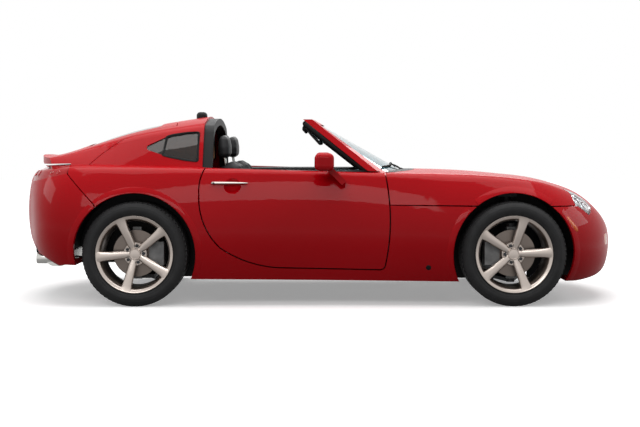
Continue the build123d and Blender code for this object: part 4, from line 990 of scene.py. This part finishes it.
# wipers: blades laid on the glass, arms and hubs
wiper = {
    "rows": 12, "z": 0.880, "rise": 0.02, "off": 0.008, "bladeR": 0.006, "armR": 0.0055,
    "lift": (0.006, 0, 0.006), "end": (0.006, 0, 0.004), "hubAxis": (0.25, 0, 1),
    "hub": [(0.0, 0.012), (0.010, 0.011), (0.014, 0.006), (0.015, -0.02)],
    # side, start and end across the car, pivot
    "pair": [("right", -0.60, -0.06, (0.565, -0.10, 0.862)), ("left", -0.08, 0.50, (0.560, 0.42, 0.860))],
}
for side, start, end, place in wiper["pair"]:
    blade = []
    for i in range(wiper["rows"] + 1):
        share = i / wiper["rows"]
        y = start + (end - start) * share
        hit = castOn(["windscreen"], (1.6, y, wiper["z"] + wiper["rise"] * share), (-1, 0, 0), 2.5)
        if hit:
            blade.append(hit[0] + hit[1] * wiper["off"])
    if len(blade) > 4:
        tubeOn("wiperBlade_" + side, blade, wiper["bladeR"], "seal", "body")
        middle = blade[len(blade) // 2]
        pivot = Vector(place)
        lift = Vector(wiper["lift"])
        arm = [pivot, pivot.lerp(middle, 0.3) + lift, pivot.lerp(middle, 0.75) + lift,
               middle + Vector(wiper["end"])]
        tubeOn("wiperArm_" + side, arm, wiper["armR"], "black_plastic", "body")
        hub = latheAbout(pivot, wiper["hubAxis"], wiper["hub"], 24)
        makePiece("wiperHub_" + side, *hub, "black_plastic", "body", angle=50)
print("screen parts done")

# frames round the quarter windows: rubber on the glass edge
windowSide = [(-1.160, 1.010), (-0.985, 1.092), (-0.880, 1.110), (-0.790, 1.116), (-0.790, 0.920),
              (-0.872, 0.930), (-1.000, 0.956)]


def roundedLoop(corners, radius, steps=5):
    loop = []
    count = len(corners)
    for i in range(count):
        here, before, after = (Vector((*corners[j % count], 0)) for j in (i, i - 1, i + 1))
        a = here + (before - here).normalized() * radius
        b = here + (after - here).normalized() * radius
        for k in range(steps + 1):
            t = k / steps
            loop.append(a.lerp(here, t).lerp(here.lerp(b, t), t))
    return loop


for side, sign in carSides:
    loop = roundedLoop(windowSide, 0.022)
    middle = sum(loop, Vector((0, 0, 0))) / len(loop)
    rings = []
    for p in loop:
        inward = (middle - p).normalized()
        ring = []
        for step, lift in ((-0.007, -0.001), (-0.004, 0.0035), (0.004, 0.0035), (0.010, 0.002),
                           (0.013, -0.004)):
            q = p + inward * step
            hit = castOn(["body_side_" + side, "roof"], (q.x, sign * 1.3, q.y), (0, -sign, 0),
                         0.9) if step < 0 else None
            if hit is None or abs(hit[0].y) < 0.5:
                hit = castOn(["quarter_windows"], (q.x, sign * 1.3, q.y), (0, -sign, 0), 0.9)
                lift += 0.004
            if hit is None:
                break
            ring.append(hit[0] + Vector((0, sign, 0.3)).normalized() * lift)
        if len(ring) == 5:
            rings.append(ring)
    if len(rings) > 10:
        verts, faces = loftRings(rings + [rings[0]])
        makePiece("windowFrame_" + side, verts, faces[:-2], "seal", "body", angle=70)
print("window frames done")

# lamps: bowls behind the headlamp covers, tail lamp spots, amber side strips
lamp = {"look": (0.80, 0.52, 0.30), "depth": 0.030, "step": 0.009,
        "bowls": [(0.30, 0.030), (0.52, 0.036), (0.76, 0.032)],
        "bowl": [(1.0, -0.018), (1.0, 0.002), (0.93, 0.005), (0.86, 0.001), (0.7, -0.012), (0.45, -0.022),
                 (0.2, -0.027), (0.0, -0.028)],
        "bulb": [(0.0, 0.0), (0.006, -0.002), (0.009, -0.008), (0.009, -0.020), (0.011, -0.024)]}
for side, sign in carSides:
    look = Vector((lamp["look"][0], sign * lamp["look"][1], lamp["look"][2])).normalized()
    corner = [Vector(v.co) for v in nodes["headlamps"].data.vertices if v.co.y * sign > 0]
    middle = sum(corner, Vector((0, 0, 0))) / len(corner)
    across = look.cross(Vector((0, 0, 1))).normalized()
    up = across.cross(look)
    count = 34
    grid = {}
    for i in range(-count, count + 1):
        for j in range(-count, count + 1):
            origin = middle + look * 0.6 + across * (i * lamp["step"]) + up * (j * lamp["step"])
            hit = castOn(["headlamps"], origin, -look, 1.0)
            if hit and hit[0].y * sign > 0:
                grid[i, j] = hit[0]
    verts, faces, index = [], [], {}
    for key, place in grid.items():
        edge = any((key[0] + a, key[1] + b) not in grid for a, b in ((1, 0), (-1, 0), (0, 1), (0, -1)))
        index[key] = len(verts)
        verts.append(place - look * (lamp["depth"] + (0.0 if edge else 0.016)))
    for i, j in grid:
        ring = [(i, j), (i + 1, j), (i + 1, j + 1), (i, j + 1)]
        if all(k in grid for k in ring):
            faces.append(tuple(index[k] for k in ring))
    if sign > 0:
        faces = [tuple(reversed(f)) for f in faces]
    makePiece("lampHousing_" + side, verts, faces, "black_plastic", "body", angle=60, turnOut=False)
    order = sorted(grid.items(), key=lambda item: (item[1] - middle).dot(Vector((1, 0, -0.6))))
    rings, bulbs = [], []
    for share, radius in lamp["bowls"]:
        close = [item[1] for item in order[int(share * len(order)) - 25:int(share * len(order)) + 25]]
        at = sum(close, Vector((0, 0, 0))) / len(close) - look * (lamp["depth"] - 0.003)
        aim = Vector((0.93, sign * 0.28, 0.12)).normalized()
        rings.append(latheAbout(at, aim, [(radius * r, h) for r, h in lamp["bowl"]], 40))
        bulbs.append(latheAbout(at, aim, lamp["bulb"], 24))
    makePiece("lampBowls_" + side, *joinShapes(rings), "bowl", "body", angle=50, turnOut=False)
    makePiece("lampBulbs_" + side, *joinShapes(bulbs), "lens", "body", angle=50)
print("head lamps done")
tailSpots = {"places": [(-1.690, 0.853, 0.016), (-1.742, 0.848, 0.016)],
             "rear": [(0.47, 0.846, 0.024), (0.55, 0.846, 0.024)],
             "dome": [(0.0, 0.004), (0.5, 0.0038), (0.86, 0.0025), (1.0, 0.0005), (1.0, -0.006)]}
for side, sign in carSides:
    shapes = []
    for x, z, radius in tailSpots["places"]:
        hit = castOn(["tail_lamps"], (x, sign * 1.4, z), (0, -sign, 0), 1.4)
        if hit:
            shapes.append(latheAbout(hit[0], hit[1], [(radius * r, h) for r, h in tailSpots["dome"]], 32))
    for y, z, radius in tailSpots["rear"]:
        hit = castOn(["tail_lamps"], (-2.4, sign * y, z), (1, 0, 0), 1.4)
        if hit:
            shapes.append(latheAbout(hit[0], hit[1], [(radius * r, h) for r, h in tailSpots["dome"]], 32))
    if shapes:
        makePiece("tailSpots_" + side, *joinShapes(shapes), "lens", "body", angle=60)
marker = {"from": (1.500, 0.642), "to": (1.648, 0.478), "half": 0.017, "rows": 26}
for side, sign in carSides:
    rings = []
    a, b = Vector((marker["from"][0], 0, marker["from"][1])), Vector((marker["to"][0], 0, marker["to"][1]))
    square = Vector((b.z - a.z, 0, a.x - b.x)).normalized()
    for i in range(marker["rows"] + 1):
        t = i / marker["rows"]
        end = (1 - (2 * t - 1) ** 8) ** 0.5
        middle = a.lerp(b, t)
        ring = []
        for u, lift in ((-1.0, -0.002), (-0.8, 0.0022), (-0.3, 0.0038), (0.3, 0.0038), (0.8, 0.0022),
                        (1.0, -0.002)):
            p = middle + square * (u * marker["half"] * max(end, 0.12))
            hit = castOn(["front_bumper"], (p.x, sign * 1.4, p.z), (0, -sign, 0), 1.0)
            if hit is None:
                break
            ring.append(hit[0] + hit[1] * lift * max(end, 0.3))
        if len(ring) == 6:
            rings.append(ring)
    if len(rings) > 5:
        makePiece("sideMarker_" + side, *loftRings(rings), "amber_lens", "body", angle=60)
print("tail and side lamps done")

# mirror plates, key barrels, wing plugs
fittings = {
    "keyAt": (-0.676, 0.853, 0.7865), "plugAt": (0.692, 0.248),
    "key": [(0.0, 0.0004), (0.0030, 0.0004), (0.0034, 0.0016), (0.0058, 0.0016), (0.0066, -0.004)],
    "plug": [(0.0, 0.003), (0.011, 0.0028), (0.016, 0.0018), (0.018, -0.002)],
}
around = ((2, 0), (-2, 0), (0, 2), (0, -2), (1, 1), (-1, -1), (1, -1), (-1, 1))
for side, sign in carSides:
    grid, verts, faces, index = {}, [], [], {}
    for i in range(60):
        for j in range(50):
            y = sign * (0.775 + 0.004 * i)
            z = 0.80 + 0.004 * j
            hit = castOn(["mirror_" + side], (-0.6, y, z), (1, 0, 0), 1.0)
            if hit and hit[1].x < -0.8:
                grid[i, j] = hit[0]
    inside = {k for k in grid if all((k[0] + a, k[1] + b) in grid for a, b in around)}
    for k in inside:
        index[k] = len(verts)
        verts.append(grid[k] + Vector((-0.0015, 0, 0)))
    for i, j in inside:
        ring = [(i, j), (i, j + 1), (i + 1, j + 1), (i + 1, j)]
        if all(k in inside for k in ring):
            faces.append(tuple(index[k] for k in (ring if sign < 0 else reversed(ring))))
    if faces:
        makePiece("mirrorPlate_" + side, verts, faces, "mirror", "door_" + side, turnOut=False)
    x, y, z = fittings["keyAt"]
    barrel = latheAbout((x, sign * y, z), (0, sign, 0), fittings["key"], 28)
    makePiece("keyBarrel_" + side, *barrel, "steel", "door_" + side, angle=50)
    x, z = fittings["plugAt"]
    hit = castOn(["front_wings"], (x, sign * 1.4, z), (0, -sign, 0), 1.0)
    if hit:
        plug = latheAbout(hit[0], hit[1], fittings["plug"], 28)
        makePiece("sillPlug_" + side, *plug, "seal", "body", angle=60)
print("small fittings done")

# door handles: tapered grips in place of the plain bars
grip = {"rows": [(-0.694, 0.0035, 0.003), (-0.690, 0.0075, 0.008), (-0.675, 0.0095, 0.012),
                 (-0.62, 0.0092, 0.0135), (-0.55, 0.0080, 0.0135), (-0.49, 0.0060, 0.011),
                 (-0.468, 0.0042, 0.007), (-0.460, 0.0022, 0.003)], "z": 0.7865, "out": 0.8415}
for side, sign in carSides:
    rings = []
    for x, tall, deep in grip["rows"]:
        rings.append([Vector((x, sign * (grip["out"] + deep * cos(2 * pi * k / 20)),
                              grip["z"] + tall * sin(2 * pi * k / 20))) for k in range(20)])
    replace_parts(makePiece("doorGrip_" + side, *loftRings(rings), "chrome", "door_" + side, angle=60),
                "handle_" + side)
print("door handles done")

# tail: exhaust tips and the dark valence under the bumper
tips = {"y": (-0.43, -0.33), "z": 0.272, "from": -1.765, "to": -1.900, "r": 0.038}
shapes = []
for y in tips["y"]:
    length = tips["from"] - tips["to"]
    rows = [(tips["r"] * 0.92, 0.0), (tips["r"], 0.01), (tips["r"], length - 0.004),
            (tips["r"] * 0.97, length), (tips["r"] * 0.90, length - 0.001),
            (tips["r"] * 0.87, length - 0.012), (tips["r"] * 0.87, 0.01), (0.0, 0.008)]
    shapes.append(latheAbout((tips["from"], y, tips["z"]), (-1, 0, 0), rows, 40))
makePiece("exhaustTips", *joinShapes(shapes), "stainless", "body", angle=40)
valence = [(0.0, 0.40), (0.004, 0.30), (0.035, 0.245), (0.11, 0.222), (0.114, 0.228), (0.042, 0.251),
           (0.011, 0.303), (0.007, 0.40)]
rings = []
for i in range(41):
    y = -0.24 + 0.48 * i / 40
    hit = castOn(["rear_bumper"], (-2.5, y, 0.42), (1, 0, 0), 1.5)
    if hit is None:
        continue
    x = hit[0].x + 0.030
    rings.append([Vector((x + ahead, y, z)) for ahead, z in valence])
if len(rings) > 4:
    makePiece("rearValence", *loftRings(rings), "black_plastic", "body", angle=50)

# splash plates below the wheel liners' inner walls: black sheets that fill the gaps beside the tyres,
# partly splash shields and partly painted shade for the dark shadow under the car
shadeSplash = {"rows": [(0.80, 1.09, 0.452, 0.140), (1.385, 1.70, 0.452, 0.140), (-1.045, -0.79, 0.596, 0.165),
                   (-1.50, -1.315, 0.596, 0.262)],
          "high": 0.385, "thick": 0.003}
for side, sign in carSides:
    shapes = []
    for start, end, y, low in shadeSplash["rows"]:
        stations = [start, start + 0.02, end - 0.02, end]
        rings = []
        for x in stations:
            outside, inside = sign * y, sign * (y - shadeSplash["thick"])
            rings.append([Vector((x, outside, low)), Vector((x, outside, shadeSplash["high"])),
                          Vector((x, inside, shadeSplash["high"])), Vector((x, inside, low))])
        shapes.append(loftRings(rings))
    # the black plastic of these plates is partly painted shade, standing for the shadow under the car
    makePiece("splashPlates_" + side, *joinShapes(shapes), "black_plastic", "body")

# upright bars behind the grille slots
grille = {"Count": 47, "Start": (1.921, -0.276, 0.39), "Step": (0.0, 0.012, 0.0),
          "Bar": (0.008, 0.003, 0.13)}
tree, keys, entry = nodeTree("grilleBars", Int=["Count"], Vector=["Start", "Step", "Bar"])
row = {"Count": entry.outputs["Count"], "Start Location": entry.outputs["Start"],
       "Offset": entry.outputs["Step"]}
line = addNode(tree, "GeometryNodeMeshLine", row)
bar = addNode(tree, "GeometryNodeMeshCube", {"Size": entry.outputs["Bar"]})
endTree(tree, entry, line.outputs["Mesh"], bar.outputs["Mesh"])
growPiece("grilleBars", tree, keys, grille, "black_plastic", "body")
print("tail and grille done")

# camera at the photograph's view
view = {"focal": 1213, "imageWidth": 640, "sensor": 36, "place": (0, -8.56, 1.0), "dip": 3.02, "far": 60}
camera = bpy.data.objects.new("camera", bpy.data.cameras.new("camera"))
camera.data.sensor_width = view["sensor"]
camera.data.lens = view["focal"] / view["imageWidth"] * view["sensor"]
camera.location = view["place"]
camera.rotation_euler = (radians(90 - view["dip"]), 0, 0)
camera.data.clip_end = view["far"]
bpy.context.scene.collection.objects.link(camera)
bpy.context.scene.camera = camera


def seenRays(tree):
    # 1 for the rays that show the white background: camera, glossy and transmission
    rays = addNode(tree, "ShaderNodeLightPath").outputs
    seen = rays["Is Camera Ray"]
    for kind in ("Is Glossy Ray", "Is Transmission Ray"):
        seen = addNode(tree, "ShaderNodeMath", {0: seen, 1: rays[kind]}, operation="MAXIMUM").outputs[0]
    return rays, seen


# pale floor that keeps the shadow
floorMesh = bpy.data.meshes.new("paleFloor")
floorMesh.from_pydata([(-30, -30, 0), (30, -30, 0), (30, 30, 0), (-30, 30, 0)], [], [(0, 1, 2, 3)])
floor = bpy.data.objects.new("paleFloor", floorMesh)
bpy.context.scene.collection.objects.link(floor)
floorMat = bpy.data.materials.new("paleFloorPaint")
floorMat.use_nodes = True
floorTree = floorMat.node_tree
floorShader = floorTree.nodes["Principled BSDF"]
floorShader.inputs["Roughness"].default_value = 0.9
floorShader.inputs["Specular IOR Level"].default_value = 0.1
rays, seen = seenRays(floorTree)
bounce = addNode(floorTree, "ShaderNodeMapRange",
                 {"Value": rays["Is Camera Ray"], "To Min": 0.16, "To Max": 0.9})
floorTree.links.new(bounce.outputs["Result"], floorShader.inputs["Base Color"])
coords = addNode(floorTree, "ShaderNodeTexCoord").outputs["Object"]
away = addNode(floorTree, "ShaderNodeVectorMath", {0: coords}, operation="LENGTH")
lift = addNode(floorTree, "ShaderNodeMapRange",
               {"Value": away.outputs["Value"], "From Min": 2.0, "From Max": 6.0,
                                         "To Min": 0.30, "To Max": 1.0})
glow = addNode(floorTree, "ShaderNodeMath", {0: seen, 1: lift.outputs["Result"]}, operation="MULTIPLY")
floorShader.inputs["Emission Color"].default_value = (1, 1, 1, 1)
floorTree.links.new(glow.outputs[0], floorShader.inputs["Emission Strength"])
floorMesh.materials.append(floorMat)

world = bpy.data.worlds.new("studio")
bpy.context.scene.world = world
world.use_nodes = True
skyTree = world.node_tree
back = skyTree.nodes["Background"]
seen = seenRays(skyTree)[1]
level = addNode(skyTree, "ShaderNodeMapRange", {"Value": seen, "To Min": 0.30, "To Max": 1.0})
back.inputs["Color"].default_value = (1, 1, 1, 1)
skyTree.links.new(level.outputs["Result"], back.inputs["Strength"])


def softLight(name, place, target, width, height, power):
    lamp = bpy.data.lights.new(name, "AREA")
    lamp.shape = "RECTANGLE"
    lamp.size = width
    lamp.size_y = height
    lamp.energy = power
    holder = bpy.data.objects.new(name, lamp)
    holder.location = place
    holder.rotation_euler = (Vector(target) - Vector(place)).to_track_quat("-Z", "Y").to_euler()
    bpy.context.scene.collection.objects.link(holder)


softLight("topSoftbox", (0, 0, 5.2), (0, 0, 0), 7.0, 5.0, 310)
softLight("nearSoftbox", (-1.5, -6.5, 4.2), (0, 0, 0.6), 5.0, 2.0, 130)
softLight("farSoftbox", (1.0, 6.5, 4.2), (0, 0, 0.6), 5.0, 2.0, 130)
softLight("noseSoftbox", (6.5, 0, 3.0), (0, 0, 0.5), 3.0, 2.0, 70)
softLight("tailSoftbox", (-6.5, 0, 3.0), (0, 0, 0.5), 3.0, 2.0, 70)

bpy.context.scene.view_settings.view_transform = "Standard"
print("scene done")
